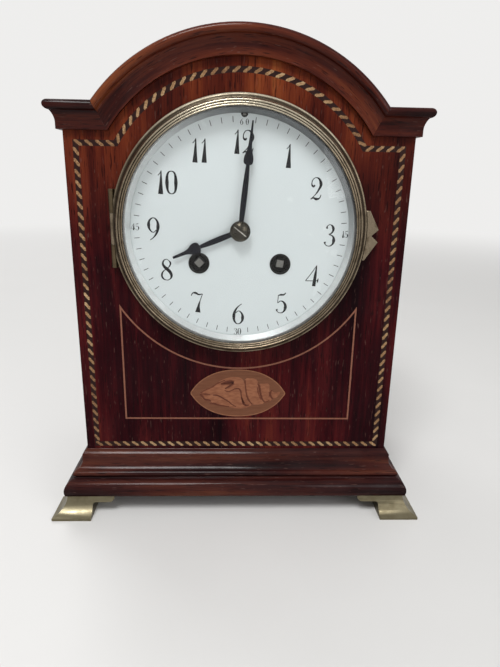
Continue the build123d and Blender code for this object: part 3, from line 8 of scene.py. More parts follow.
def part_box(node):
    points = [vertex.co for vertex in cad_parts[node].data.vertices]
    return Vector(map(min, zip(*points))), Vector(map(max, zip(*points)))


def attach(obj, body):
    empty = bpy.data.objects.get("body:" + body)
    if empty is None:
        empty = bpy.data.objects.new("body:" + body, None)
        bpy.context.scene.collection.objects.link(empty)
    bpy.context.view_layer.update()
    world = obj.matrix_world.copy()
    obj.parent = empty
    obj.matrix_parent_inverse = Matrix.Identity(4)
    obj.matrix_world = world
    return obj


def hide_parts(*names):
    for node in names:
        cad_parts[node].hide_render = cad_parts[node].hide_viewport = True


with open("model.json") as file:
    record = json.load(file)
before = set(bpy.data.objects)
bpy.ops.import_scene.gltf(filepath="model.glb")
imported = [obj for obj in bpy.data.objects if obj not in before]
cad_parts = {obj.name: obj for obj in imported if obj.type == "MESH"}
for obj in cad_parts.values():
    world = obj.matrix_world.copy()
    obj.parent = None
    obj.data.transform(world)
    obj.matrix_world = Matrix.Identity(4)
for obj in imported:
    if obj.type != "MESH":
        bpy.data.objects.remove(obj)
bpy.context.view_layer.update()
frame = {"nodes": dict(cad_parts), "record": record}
nodes = frame["nodes"]
mm = 0.001


# ---------------------------------------------------------------------------------------------
# The table top: a wide pale board that fades into the backdrop well away from the clock, so that
# no horizon line shows. It takes the clock's shadow and isn't part of it.
class Wire:
    """A socket of a node tree. Arithmetic on it adds Math nodes."""

    def __init__(self, tree, socket=None):
        self.tree, self.socket = tree, socket

    def node(self, kind, settings=None, inputs=None, output=0):
        made = self.tree.nodes.new("ShaderNode" + kind)
        for key, value in (settings or {}).items():
            if key == "stops":
                ramp = made.color_ramp.elements
                ramp.remove(ramp[1])
                ramp[0].position, ramp[0].color = value[0][0], (*value[0][1], 1)
                for position, colour in value[1:]:
                    ramp.new(position).color = (*colour, 1)
            else:
                setattr(made, key, value)
        for key, value in (inputs or {}).items():
            if isinstance(value, Wire):
                self.tree.links.new(value.socket, made.inputs[key])
            else:
                made.inputs[key].default_value = value
        return Wire(self.tree, made.outputs[output])

    def feeds(self, shader, name):
        self.tree.links.new(self.socket, shader.inputs[name])

    def __add__(self, other):
        return self.node("Math", {"operation": "ADD"}, {0: self, 1: other})

    def __sub__(self, other):
        return self.node("Math", {"operation": "SUBTRACT"}, {0: self, 1: other})

    def __rsub__(self, other):
        return self.node("Math", {"operation": "SUBTRACT"}, {0: other, 1: self})

    def __mul__(self, other):
        return self.node("Math", {"operation": "MULTIPLY"}, {0: self, 1: other})

    __radd__ = __add__
    __rmul__ = __mul__


def finish(name, metallic=0.0, coat=0.0, specular=0.5):
    """A new material: itself, its shader, and a wire with the places on the piece."""
    material = bpy.data.materials.new(name)
    material.use_nodes = True
    shader = material.node_tree.nodes["Principled BSDF"]
    shader.inputs["Metallic"].default_value = metallic
    shader.inputs["Coat Weight"].default_value = coat
    shader.inputs["Specular IOR Level"].default_value = specular
    place = Wire(material.node_tree).node("TexCoord", output="Object")
    return material, shader, place


def mixed(factor, first, second):
    """A colour between two others."""
    return factor.node("Mix", {"data_type": "RGBA"}, {0: factor, 6: first, 7: second}, 2)


def between(value, low, high):
    """How far a value has come from low to high, from 0 to 1."""
    return value.node("MapRange", {"interpolation_type": "SMOOTHSTEP"}, {0: value, 1: low, 2: high})


def mottle(place, scale, detail=3.0, roughness=0.55):
    """Noise of a given scale, or of one scale for each axis."""
    if not isinstance(scale, (int, float)):
        place = place.node("VectorMath", {"operation": "MULTIPLY"}, {0: place, 1: scale})
        scale = 1.0
    return place.node("TexNoise", {}, {
        "Vector": place, "Scale": scale, "Detail": detail, "Roughness": roughness})


def started(primitive, **sizes):
    """A new primitive, selected alone."""
    bpy.ops.object.select_all(action="DESELECT")
    primitive(**sizes)
    return bpy.context.object


def worked(operator, **settings):
    """Uses an edit-mode operator on the whole of the active piece."""
    bpy.ops.object.mode_set(mode="EDIT")
    bpy.ops.mesh.select_all(action="SELECT")
    operator(**settings)
    bpy.ops.object.mode_set(mode="OBJECT")


backdrop = (0.86, 0.855, 0.845, 1)
fades_from, fades_to = 0.5, 2.2
table_top = started(bpy.ops.mesh.primitive_plane_add, size=16)
table_top.name = "table_top"
worked(bpy.ops.mesh.subdivide, number_cuts=7)
pale_board, shader, place = finish("pale_board")
board_tone = mottle(place, 9.0)
mixed(board_tone, (0.64, 0.635, 0.625, 1), (0.68, 0.675, 0.665, 1)).feeds(shader, "Base Color")
(0.42 + board_tone * 0.16).feeds(shader, "Roughness")
distance = place.node("VectorMath", {"operation": "LENGTH"}, {0: place}, "Value")
far_out = between(distance, fades_from, fades_to)
glow = place.node("Emission", {}, {"Color": backdrop, "Strength": 1.0})
lit_board = Wire(pale_board.node_tree, shader.outputs[0])
lightened = place.node("MixShader", {}, {0: far_out, 1: lit_board, 2: glow})
lightened.feeds(pale_board.node_tree.nodes["Material Output"], "Surface")
table_top.data.materials.append(pale_board)


# ---------------------------------------------------------------------------------------------
# The light and the camera: two soft lamps above the front, a weak one behind, and a pale room that
# metal and glass mirror. The camera stands where the photograph was taken from, close and a little
# above the dial.
def lamp(name, stand, aim, size, power):
    """A square soft lamp that looks from one point at another."""
    bpy.ops.object.light_add(type="AREA", location=stand)
    light = bpy.context.object
    light.name = name
    light.data.size = size
    light.data.energy = power
    light.rotation_euler = (Vector(aim) - Vector(stand)).to_track_quat("-Z", "Y").to_euler()


mid_clock = (0.0, 0.0, 0.15)
lamp("main_lamp", (-0.25, -0.95, 1.55), mid_clock, 0.6, 24.0)
lamp("side_lamp", (1.05, -1.15, 0.75), mid_clock, 0.9, 7.0)
lamp("rear_lamp", (-0.7, 1.2, 1.1), mid_clock, 0.9, 7.0)

room = bpy.data.worlds.new("pale_room")
bpy.context.scene.world = room
room.use_nodes = True
room_light = room.node_tree.nodes["Background"]
room_light.inputs["Color"].default_value = backdrop
ray = room.node_tree.nodes.new("ShaderNodeLightPath")
seen, mirrored, passed = (
    Wire(room.node_tree, ray.outputs["Is %s Ray" % kind])
    for kind in ("Camera", "Glossy", "Transmission"))
shown = seen.node("Math", {"operation": "MAXIMUM"}, {0: seen, 1: mirrored})
shown = seen.node("Math", {"operation": "MAXIMUM"}, {0: shown, 1: passed})
(0.48 + shown * 0.52).feeds(room_light, "Strength")

eye = Vector((-0.0046, -0.3628, 0.2144))
yaw, pitch, roll = radians(2.15), radians(16.81), radians(1.11)
ahead = Vector((sin(yaw) * cos(pitch), cos(yaw) * cos(pitch), -sin(pitch)))
level = Vector((cos(yaw), -sin(yaw), 0))
plumb = level.cross(ahead)
right = level * cos(roll) + plumb * sin(roll)
up = plumb * cos(roll) - level * sin(roll)
bpy.ops.object.camera_add()
camera = bpy.context.object
camera.matrix_world = Matrix.Translation(eye) @ Matrix((right, up, -ahead)).transposed().to_4x4()
film_width, focal_pixels, picture_pixels = 36, 520, 667
camera.data.sensor_width = film_width
camera.data.lens = film_width * focal_pixels / picture_pixels
camera.data.clip_start = 0.01
bpy.context.scene.camera = camera
bpy.context.scene.view_settings.view_transform = "Standard"


# ---------------------------------------------------------------------------------------------
# The case boards: front, sides and back are pine faced with mahogany veneer, grain upright, and
# French polished. The polish lies over the pores, and the colour runs from plum to warm red-brown.
arch_z, moulding_radius = 187.7 * mm, 103 * mm
plum = (0.0056, 0.0007, 0.0017)
oxblood = (0.0185, 0.0015, 0.0029)
russet = (0.0500, 0.0048, 0.0056)
amber_red = (0.1100, 0.0190, 0.0100)
plain_cut = (plum, oxblood, russet, amber_red)
# A lighter, warmer cut for the top of the front panel: painted light from above.
painted_lit_cut = (
    (0.0220, 0.0030, 0.0026), (0.0700, 0.0110, 0.0052),
    (0.1400, 0.0280, 0.0090), (0.2300, 0.0640, 0.0180))


def toned(value, stops):
    """A colour off a ramp, whose stops each give a position and a colour."""
    return value.node("ValToRGB", {"stops": list(stops)}, {0: value})


def textured(height, shader, strength, depth):
    """Raises and sinks the surface a little."""
    relief = {"Strength": strength, "Distance": depth, "Height": height}
    height.node("Bump", {}, relief).feeds(shader, "Normal")


def mahogany(name, along, tones=plain_cut, bands=46, shine=0.07, lightened=None):
    """French-polished mahogany, grain along an axis or round the arch; lightened gives heights of
    painted light.
    """
    material, shader, place = finish(name, specular=0.02)
    shader.inputs["Coat Roughness"].default_value = 0.1
    split = [place.node("SeparateXYZ", {}, {0: place}, axis) for axis in "XYZ"]
    if along == "arch":
        height = split[2] - arch_z
        turn = place.node("Math", {"operation": "ARCTAN2"}, {0: split[0], 1: height})
        flat = place.node("CombineXYZ", {}, {0: split[0], 2: height})
        out = place.node("VectorMath", {"operation": "LENGTH"}, {0: flat}, "Value")
        place = place.node("CombineXYZ", {}, {0: turn * moulding_radius, 1: split[1], 2: out})
        along = "x"

    def stretched(across, lengthwise):
        return [lengthwise if axis == along else across for axis in "xyz"]

    figure = mottle(place, stretched(bands, 7.0), 3.0, 0.5)
    streaks = mottle(place, stretched(280, 9.0), 4.0, 0.6)
    threads = mottle(place, stretched(1700, 55.0), 2.0, 0.5)
    tone = figure * 0.80 + streaks * 0.34 + threads * 0.14 - 0.14
    stops = (0.34, 0.47, 0.60, 0.76)
    colour = toned(tone, zip(stops, tones))
    # Between the heights in lightened the colour turns to the lighter, warmer cut: painted light on
    # the top.
    if lightened:
        colour = mixed(between(split[2], *lightened), colour, toned(tone, zip(stops, painted_lit_cut)))
    pores = between(mottle(place, stretched(1500, 110.0), 1.0), 0.60, 0.70)
    dusty = between(mottle(place, stretched(1300, 170.0), 1.0), 0.68, 0.74)
    colour = mixed(pores * 0.7, colour, (0.0050, 0.0012, 0.0014, 1))
    mixed(dusty * 0.35, colour, (0.1200, 0.0620, 0.0500, 1)).feeds(shader, "Base Color")
    (0.36 + threads * 0.22).feeds(shader, "Roughness")
    # Worn patches in the polish, which thin its coat.
    wear_and_painted_highlight = mottle(place, 38.0, 5.0)
    (shine * (0.55 + between(wear_and_painted_highlight, 0.35, 0.6) * 0.45)).feeds(shader, "Coat Weight")
    textured(streaks * 0.4 - pores, shader, 0.22, 0.2 * mm)
    return material


def dress(material, *names):
    """Gives CAD pieces a finish."""
    for name in names:
        nodes[name].data.materials.clear()
        nodes[name].data.materials.append(material)


# Heights over which the front panel's top is painted lighter and warmer: painted light.
lit_top_from, lit_top_to = 160 * mm, 270 * mm
dress(mahogany("front_veneer", "z", lightened=(lit_top_from, lit_top_to)), "front_panel")
dress(mahogany("side_veneer", "z", bands=40), "left_side", "right_side")
dress(mahogany("back_board", "z", shine=0.04), "back_panel")


# ---------------------------------------------------------------------------------------------
# The base board inside the case and the post that carries the gong: plain unpolished red pine,
# planed, with darker rings.
deal, shader, place = finish("bare_deal")
rings = mottle(place, (9.0, 260.0, 260.0), 4.0)
deal_tones = [
    (0.35, (0.17, 0.070, 0.032)), (0.55, (0.27, 0.125, 0.058)), (0.70, (0.34, 0.175, 0.085))]
toned(rings, deal_tones).feeds(shader, "Base Color")
(0.55 + rings * 0.3).feeds(shader, "Roughness")
textured(rings, shader, 0.2, 0.3 * mm)
dress(deal, "base_board", "gong_block")


# ---------------------------------------------------------------------------------------------
# The roof and the cornice: a bent roof board with a solid mahogany moulding worked round the arch
# and along both shoulders, mitred where they meet. Its edges are rubbed soft.
def picked(*pieces):
    """Selects these pieces alone, with the first one active."""
    bpy.ops.object.select_all(action="DESELECT")
    for piece in pieces:
        piece.select_set(True)
    bpy.context.view_layer.objects.active = pieces[0]


merged_within = 0.001 * mm
sharp, flat_within = radians(35), radians(0.5)


def softened(name, width):
    """A merged copy of a CAD piece with its sharp edges eased."""
    piece = bpy.data.objects.new(name + "_eased", nodes[name].data.copy())
    bpy.context.collection.objects.link(piece)
    picked(piece)
    worked(bpy.ops.mesh.remove_doubles, threshold=merged_within)
    bpy.ops.object.shade_smooth_by_angle(angle=sharp)
    worked(bpy.ops.mesh.dissolve_limited, angle_limit=flat_within)
    ease = piece.modifiers.new("ease", "BEVEL")
    ease.width = width
    ease.segments = 2
    ease.limit_method = "ANGLE"
    ease.angle_limit = sharp
    ease.miter_outer = "MITER_ARC"
    bpy.ops.object.modifier_apply(modifier="ease")
    bpy.ops.object.shade_smooth_by_angle(angle=sharp)
    return piece


def stand_for(piece, material, name):
    """Puts an eased piece in the place of its CAD node, with a finish."""
    record = frame["record"]
    body = next(body for body, held in record["behaviour"]["bodies"].items() if name in held)
    piece.data.materials.clear()
    piece.data.materials.append(material)
    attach(piece, body)
    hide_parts(name)


cornice_cut = (
    (0.0095, 0.0019, 0.0019), (0.0300, 0.0050, 0.0036),
    (0.0720, 0.0140, 0.0066), (0.1400, 0.0380, 0.0130))
arch_wood = mahogany("arch_moulding_wood", "arch", cornice_cut, bands=95, shine=0.2)
shoulder_wood = mahogany("shoulder_moulding_wood", "x", cornice_cut, bands=95, shine=0.2)
stand_for(softened("cornice_arch", 0.5 * mm), arch_wood, "cornice_arch")
stand_for(softened("cornice_left", 0.5 * mm), shoulder_wood, "cornice_left")
stand_for(softened("cornice_right", 0.5 * mm), shoulder_wood, "cornice_right")
dress(mahogany("roof_veneer", "y", cornice_cut, shine=0.15), "roof_panel")


# ---------------------------------------------------------------------------------------------
# The base moulding and the plinth: solid mahogany run along the front and both sides and mitred at
# the corners, browner than the case because old polish has gathered on its ledges.
dark_cut = (
    (0.0062, 0.0014, 0.0018), (0.0200, 0.0036, 0.0034),
    (0.0480, 0.0105, 0.0066), (0.0950, 0.0290, 0.0140))
base_wood = mahogany("base_moulding_wood", "x", dark_cut, bands=110, shine=0.24)
plinth_wood = mahogany("plinth_wood", "x", dark_cut, bands=100, shine=0.24)
stand_for(softened("base_moulding", 0.45 * mm), base_wood, "base_moulding")
stand_for(softened("plinth", 0.5 * mm), plinth_wood, "plinth")


# ---------------------------------------------------------------------------------------------
# The feet and their screws: cast brass brackets, filed smooth and lacquered, that wrap the plinth's
# corners. The lacquer has yellowed, with soft dull patches where it has gone.
def brass(name, bright, dull, roughness, spots, worn=(0.48, 0.72)):
    """Brass with patches of tarnish and fine rubbing marks."""
    material, shader, place = finish(name, metallic=1.0)
    tarnish = between(mottle(place, spots, 5.0, 0.65), *worn)
    rubbing = mottle(place, (900.0, 900.0, 160.0), 3.0)
    mixed(tarnish, bright, dull).feeds(shader, "Base Color")
    (roughness - 0.05 + tarnish * 0.22 + rubbing * 0.10).feeds(shader, "Roughness")
    textured(rubbing, shader, 0.05, 0.2 * mm)
    return material


feet_brass = brass(
    "feet_brass", (0.185, 0.162, 0.105, 1), (0.095, 0.078, 0.046, 1), 0.30, 60.0, (0.34, 0.78))
stand_for(softened("front_feet", 0.35 * mm), feet_brass, "front_feet")
stand_for(softened("rear_feet", 0.35 * mm), feet_brass, "rear_feet")


def steel(name, bright, dark, roughness=0.3):
    """Drawn or filed steel with a slight bloom."""
    material, shader, place = finish(name, metallic=1.0)
    bloom = mottle(place, 420.0, 4.0)
    mixed(between(bloom, 0.4, 0.75), bright, dark).feeds(shader, "Base Color")
    (roughness - 0.08 + bloom * 0.2).feeds(shader, "Roughness")
    return material


white_steel = steel("white_steel", (0.46, 0.45, 0.44, 1), (0.24, 0.22, 0.20, 1))
dress(white_steel, "foot_screws")


# ---------------------------------------------------------------------------------------------
# The rope stringing: a sandwich of light and dark slivers cut on the slant, let into the front in a
# line round its edge. The dark wood is the strip itself, and each light sliver is a thin leaf.
def inlay_wood(name):
    """What finish gives, for thin inlaid wood under a film of polish."""
    return finish(name, coat=0.1, specular=0.1)


rope_ground, shader, place = inlay_wood("rope_dark_wood")
rope_grain = mottle(place, (900.0, 900.0, 900.0), 3.0)
dark_sliver = mixed(rope_grain, (0.006, 0.0016, 0.0014, 1), (0.024, 0.0062, 0.0042, 1))
dark_sliver.feeds(shader, "Base Color")
(0.3 + rope_grain * 0.2).feeds(shader, "Roughness")
dress(rope_ground, "rope_stringing")

rope_width, rope_pitch = 3.15 * mm, 5.9 * mm
sliver_width, sliver_slant = 2.75 * mm, 1.4 * mm
sliver_face, sliver_thickness = 0.04 * mm, 0.03 * mm
face_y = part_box("front_panel")[0].y


def sliver(lean):
    """One light sliver: a leaf drawn out along the slant, thin at both ends."""
    leaf = started(bpy.ops.mesh.primitive_grid_add, x_subdivisions=2, y_subdivisions=8, size=1)
    for corner in leaf.data.vertices:
        across = corner.co.y * 2
        swell = 0.6 + 0.4 * cos(across * pi / 2)
        slant = lean * (across + 0.2 * sin(across * pi))
        corner.co.x = corner.co.x * swell * sliver_width + slant * sliver_slant
        corner.co.y = corner.co.y * rope_width
        corner.co.z = sliver_face
    sink = leaf.modifiers.new("thickness", "SOLIDIFY")
    sink.thickness = sliver_thickness
    sink.offset = -1
    bpy.ops.object.modifier_apply(modifier="thickness")
    return leaf


def set_out(original, places, name):
    """Copies a finished piece to each of its places and joins the copies into one."""
    copies = []
    for spot in places:
        copy = original.copy()
        copy.data = original.data.copy()
        copy.data.transform(spot)
        bpy.context.collection.objects.link(copy)
        copies.append(copy)
    bpy.data.objects.remove(original)
    picked(*copies)
    bpy.ops.object.join()
    bpy.context.object.name = name
    return bpy.context.object


def on_front(x, z, turn, proud=0.0):
    """A place on the case's front, turned clockwise as seen from the front."""
    run = Vector((cos(turn), 0, -sin(turn)))
    across = Vector((sin(turn), 0, cos(turn)))
    spot = Matrix((run, across, Vector((0, -1, 0)))).transposed().to_4x4()
    return Matrix.Translation((x, face_y - proud, z)) @ spot


rope_x, rope_low, rope_high = 91.8 * mm, 44.6 * mm, 230.6 * mm
rope_radius, reach = 81.9 * mm, 69.77 * mm
rope_turn = asin(reach / rope_radius)


def along_line(start, end, turn):
    """Even places for slivers along a straight run."""
    start, end = Vector(start), Vector(end)
    count = round((end - start).length / rope_pitch)
    return [on_front(*start.lerp(end, (i + 0.5) / count), turn) for i in range(count)]


upward, edge = -pi / 2, rope_width / 2
left_run = along_line((-rope_x, rope_low + edge), (-rope_x, rope_high - edge), upward)
right_run = along_line((rope_x, rope_low + edge), (rope_x, rope_high - edge), upward)
low_run = along_line((-rope_x - edge, rope_low), (rope_x + edge, rope_low), 0)
left_shoulder = along_line((-rope_x - edge, rope_high), (-reach, rope_high), 0)
right_shoulder = along_line((reach, rope_high), (rope_x + edge, rope_high), 0)
count = round(2 * rope_turn * rope_radius / rope_pitch)
turns = [rope_turn * (2 * (i + 0.5) / count - 1) for i in range(count)]
arch_run = [on_front(rope_radius * sin(t), arch_z + rope_radius * cos(t), t) for t in turns]

rope_light, shader, place = inlay_wood("rope_light_wood")
light_grain = mottle(place, 1100.0, 3.0)
faded_patch = mottle(place, 30.0, 2.0)
light_tone = light_grain * 0.5 + faded_patch * 0.5
sliver_tones = [
    (0.34, (0.095, 0.040, 0.020)), (0.50, (0.230, 0.125, 0.058)), (0.66, (0.420, 0.290, 0.160))]
toned(light_tone, sliver_tones).feeds(shader, "Base Color")
(0.3 + light_grain * 0.2).feeds(shader, "Roughness")
rising = set_out(sliver(1), left_run + right_shoulder + arch_run, "rope_slivers_rising")
falling = set_out(sliver(-1), right_run + left_shoulder + low_run, "rope_slivers_falling")
for slivers in (rising, falling):
    slivers.data.materials.append(rope_light)
    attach(slivers, "case")


# ---------------------------------------------------------------------------------------------
# The line stringing: a hair-thin strip of boxwood, stained pinkish by the polish, let in flush
# round the lower panel and up under the dial.
boxwood, shader, place = inlay_wood("boxwood_line")
box_grain = mottle(place, 700.0, 4.0)
mixed(box_grain, (0.130, 0.044, 0.028, 1), (0.245, 0.106, 0.066, 1)).feeds(shader, "Base Color")
(0.32 + box_grain * 0.15).feeds(shader, "Roughness")
dress(boxwood, "line_stringing")


# ---------------------------------------------------------------------------------------------
# The shell patera: an oval of tan veneer with a conch shell laid in salmon sycamore. Each turn of
# the shell is scorched in hot sand along one edge, which shades it, and dark cuts part the turns.
patera_z = 80.7 * mm
oval, shader, place = inlay_wood("patera_ground")
oval_grain = mottle(place, (120.0, 600.0, 900.0), 4.0)
mixed(oval_grain, (0.090, 0.031, 0.015, 1), (0.165, 0.066, 0.034, 1)).feeds(shader, "Base Color")
(0.3 + oval_grain * 0.2).feeds(shader, "Roughness")
dress(oval, "shell_patera")


def drawn(name, strokes):
    """Brush strokes on a flat sheet. Each point of a stroke gives its place and its width."""
    curve = bpy.data.curves.new(name, "CURVE")
    curve.dimensions = "3D"
    curve.bevel_depth = 0.5
    curve.bevel_resolution = 1
    curve.resolution_u = 6
    curve.use_fill_caps = True
    for stroke in strokes:
        line = curve.splines.new("BEZIER")
        line.use_cyclic_u = stroke[0] == stroke[-1]
        points = stroke[:-1] if line.use_cyclic_u else stroke
        line.bezier_points.add(len(points) - 1)
        for point, (x, z, width) in zip(line.bezier_points, points):
            point.co = (x, z, 0)
            point.radius = width
            point.handle_left_type = point.handle_right_type = "AUTO"
    return flat_piece(name, curve)


def cut_out(name, outline):
    """A leaf of veneer cut to a closed outline."""
    curve = bpy.data.curves.new(name, "CURVE")
    curve.dimensions = "2D"
    curve.fill_mode = "BOTH"
    curve.extrude = 0.5
    curve.resolution_u = 5
    line = curve.splines.new("BEZIER")
    line.use_cyclic_u = True
    line.bezier_points.add(len(outline) - 1)
    for point, (x, z) in zip(line.bezier_points, outline):
        point.co = (x, z, 0)
        point.handle_left_type = point.handle_right_type = "AUTO"
    return flat_piece(name, curve)


def flat_piece(name, curve):
    """The mesh of a curve, pressed to a film with its back at no height and its face at 1."""
    piece = bpy.data.objects.new(name, curve)
    bpy.context.collection.objects.link(piece)
    picked(piece)
    bpy.ops.object.convert(target="MESH")
    bpy.ops.object.shade_flat()
    for corner in piece.data.vertices:
        corner.co.z = 1.0 if corner.co.z > 1e-5 else 0.0
    return piece


def laid(piece, place, size, film, material, body):
    """Lays a flat piece on the clock and gives it its finish."""
    piece.data.transform(place @ Matrix.Diagonal((size, size, film, 1)))
    piece.data.materials.append(material)
    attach(piece, body)


def veneer(name, pale, rich):
    """A small leaf of plain, close-grained veneer under polish."""
    material, shader, place = inlay_wood(name)
    leaf_grain = mottle(place, (260.0, 600.0, 700.0), 4.0)
    mixed(between(leaf_grain, 0.3, 0.7), pale, rich).feeds(shader, "Base Color")
    (0.3 + leaf_grain * 0.2).feeds(shader, "Roughness")
    return material


salmon_wood = veneer("shell_wood", (0.245, 0.098, 0.050, 1), (0.165, 0.058, 0.029, 1))
toasted_wood = veneer("toasted_wood", (0.150, 0.049, 0.025, 1), (0.085, 0.025, 0.013, 1))
burnt_wood = veneer("burnt_wood", (0.030, 0.0075, 0.0050, 1), (0.085, 0.022, 0.012, 1))
shell_leaves = {
    "shell_body": [
        (-23.6, -0.7), (-20.5, 1.5), (-16.9, 3.2), (-13.3, 5.9), (-9.7, 8.4), (-5.2, 10.1),
        (-0.7, 10.5), (2.9, 9.5), (4.7, 6.5), (5.2, 2.6), (5.9, -2.4), (7.4, -6.3), (9.5, -8.6),
        (8.3, -9.8), (5.6, -10.8), (1.1, -11.3), (-3.4, -10.5), (-7.9, -9.4), (-12.4, -8.3),
        (-16, -6.9), (-18.2, -5.7), (-21.4, -4.9), (-23.3, -2.1)],
    "shell_second_turn": [
        (5.5, 9.3), (8.8, 9.7), (12.4, 8.9), (13.5, 5), (14.4, 0.1), (16, -4.9), (17.5, -7.1),
        (14.6, -8.3), (10.6, -8.5), (8.1, -5.6), (6.4, -0.9), (5.5, 4.1)],
    "shell_third_turn": [
        (14.3, 5.6), (16.9, 6.1), (20.3, 5.9), (20.9, 1.6), (21.4, -2.4), (22.2, -5.3),
        (19.6, -5.7), (17.3, -6.1), (15.9, -2.9), (14.8, 1.6)],
    "shell_end": [
        (21.8, 1.5), (23.6, 0.2), (25.9, 0.1), (27.6, 0.4), (26.8, -1.9), (24.1, -3.9),
        (22.2, -3.1), (21.6, -0.9)],
}
shell_cuts = [
    [(-10.4, 5.8, 0.4), (-7.4, 6.8, 1.2), (-3.8, 7.2, 2.2), (-2.1, 7, 1.4)],
    [(-2.3, 6.5, 1.4), (-4.3, 4.8, 1.0), (-7.7, 2.4, 0.5)],
    [(-8, 1.3, 0.24), (-6.1, 0.6, 0.2), (-3.4, 1.5, 0.24), (-1.1, 2.6, 0.4), (1.1, 2.5, 0.55),
     (2.3, 0.6, 0.5), (2.7, -2.4, 0.48), (3.4, -5.3, 0.65), (4.3, -7.8, 1.1), (5.6, -8.9, 0.85),
     (7.7, -8.8, 0.3)],
    [(5, 8.5, 0.3), (5.2, 4.6, 0.42), (5.9, 0.1, 0.4), (7.2, -4.4, 0.4), (9.7, -8.3, 0.25)],
    [(12.9, 6.1, 0.3), (14, 5, 0.65), (14.6, 1.6, 0.7), (15.5, -1.9, 0.7), (16.7, -5.3, 0.48),
     (18.2, -6.6, 0.45), (20.9, -5.6, 0.28)],
    [(22.5, 1.8, 0.5), (21.7, 0.6, 0.6), (21.4, -1.4, 0.55), (22.3, -3.6, 0.6), (23.2, -4.4, 0.28)],
    [(-15.5, -1.9, 0.24), (-13.3, -2, 0.7), (-11, -2.9, 0.6), (-8.3, -4.6, 0.42),
     (-5.6, -6.3, 0.42), (-3.4, -8.3, 0.38), (-0.7, -10, 0.24)],
    [(-17.6, -7.8, 0.28), (-15.1, -7.7, 0.7), (-12.4, -8.6, 0.45), (-8.8, -9.3, 0.36),
     (-5.2, -10, 0.2)],
    [(-23.6, -1.1, 0.45), (-22.3, -2.9, 0.75), (-20.5, -4.9, 0.85), (-18.2, -5.4, 0.75),
     (-16.9, -6.1, 0.28)],
    [(-23.4, -0.4, 0.24), (-20, 1.6, 0.28), (-16, 3.6, 0.24), (-12.4, 6.3, 0.2), (-7.9, 8.4, 0.15)],
]
scorches = [[(x + 0.25, z, width * 1.6 + 0.7) for x, z, width in cut] for cut in shell_cuts]
scorches += [
    [(-10.2, 5.4, 0.9), (-6.6, 6, 2.4), (-3, 6.2, 2.6)],
    [(-23, -1.2, 0.8), (-20.4, -1.3, 2.4), (-17, -1.8, 1.2)],
    [(2.9, -3.2, 0.9), (4.4, -7.4, 2.3)],
    [(13, 3.6, 0.9), (14, -0.8, 1.5), (15.8, -5, 1.3)],
    [(20.8, 0.6, 0.8), (21.2, -2.8, 1.4)],
]
pale_edge = veneer("patera_edge", (0.250, 0.110, 0.056, 1), (0.180, 0.076, 0.040, 1))
quarter = [
    (0, 16), (6, 15.65), (11.9, 14.5), (17.5, 12.3), (22.6, 9.1), (26.9, 5), (28.7, 2.5), (30.1, 0)]
half_line = quarter + [(x, -z) for x, z in reversed(quarter[:-1])]
oval_line = half_line + [(-x, z) for x, z in reversed(half_line[:-1])]
edge_width = 0.55
edge_film, leaf_film, scorch_film, cut_film = 0.02 * mm, 0.03 * mm, 0.05 * mm, 0.07 * mm
edge_line = drawn("patera_edge", [[(x, z, edge_width) for x, z in oval_line]])
laid(edge_line, on_front(0, patera_z, 0), mm, edge_film, pale_edge, "case")
shell_across, shell_rise = -0.7 * mm, 0.6 * mm
on_oval = on_front(shell_across, patera_z + shell_rise, 0)
for name, outline in shell_leaves.items():
    laid(cut_out(name, outline), on_oval, mm, leaf_film, salmon_wood, "case")
scorching = drawn("shell_scorching", scorches)
laid(scorching, on_oval, mm, scorch_film, toasted_wood, "case")
laid(drawn("shell_cuts", shell_cuts), on_oval, mm, cut_film, burnt_wood, "case")


# ---------------------------------------------------------------------------------------------
# The seat ring, the straps and the back ring: turned and cut brass that clamps the movement in the
# case from front and back. The rings have gone brown, and the straps inside have stayed bright.
old_brass = brass(
    "old_brass", (0.115, 0.088, 0.053, 1), (0.062, 0.043, 0.024, 1), 0.3, 120.0, (0.36, 0.76))
dress(old_brass, "bezel_seat_ring", "back_ring")
train_brass = brass(
    "train_brass", (0.62, 0.45, 0.19, 1), (0.30, 0.19, 0.07, 1), 0.28, 150.0, (0.45, 0.75))
dress(train_brass, "movement_straps")


# ---------------------------------------------------------------------------------------------
# The dial: a copper disc under white enamel, fired smooth and glossy, with a faint cool cast. It is
# pierced for the hands, both winding squares and the regulating square.
dial_z = 184.0 * mm
dial_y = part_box("dial")[0].y
enamel, shader, place = finish("white_enamel", coat=0.6)
shader.inputs["Coat Roughness"].default_value = 0.05
fired = mottle(place, 45.0, 3.0)
mixed(fired, (0.655, 0.705, 0.720, 1), (0.685, 0.730, 0.740, 1)).feeds(shader, "Base Color")
(0.18 + fired * 0.14).feeds(shader, "Roughness")
dress(enamel, "dial")


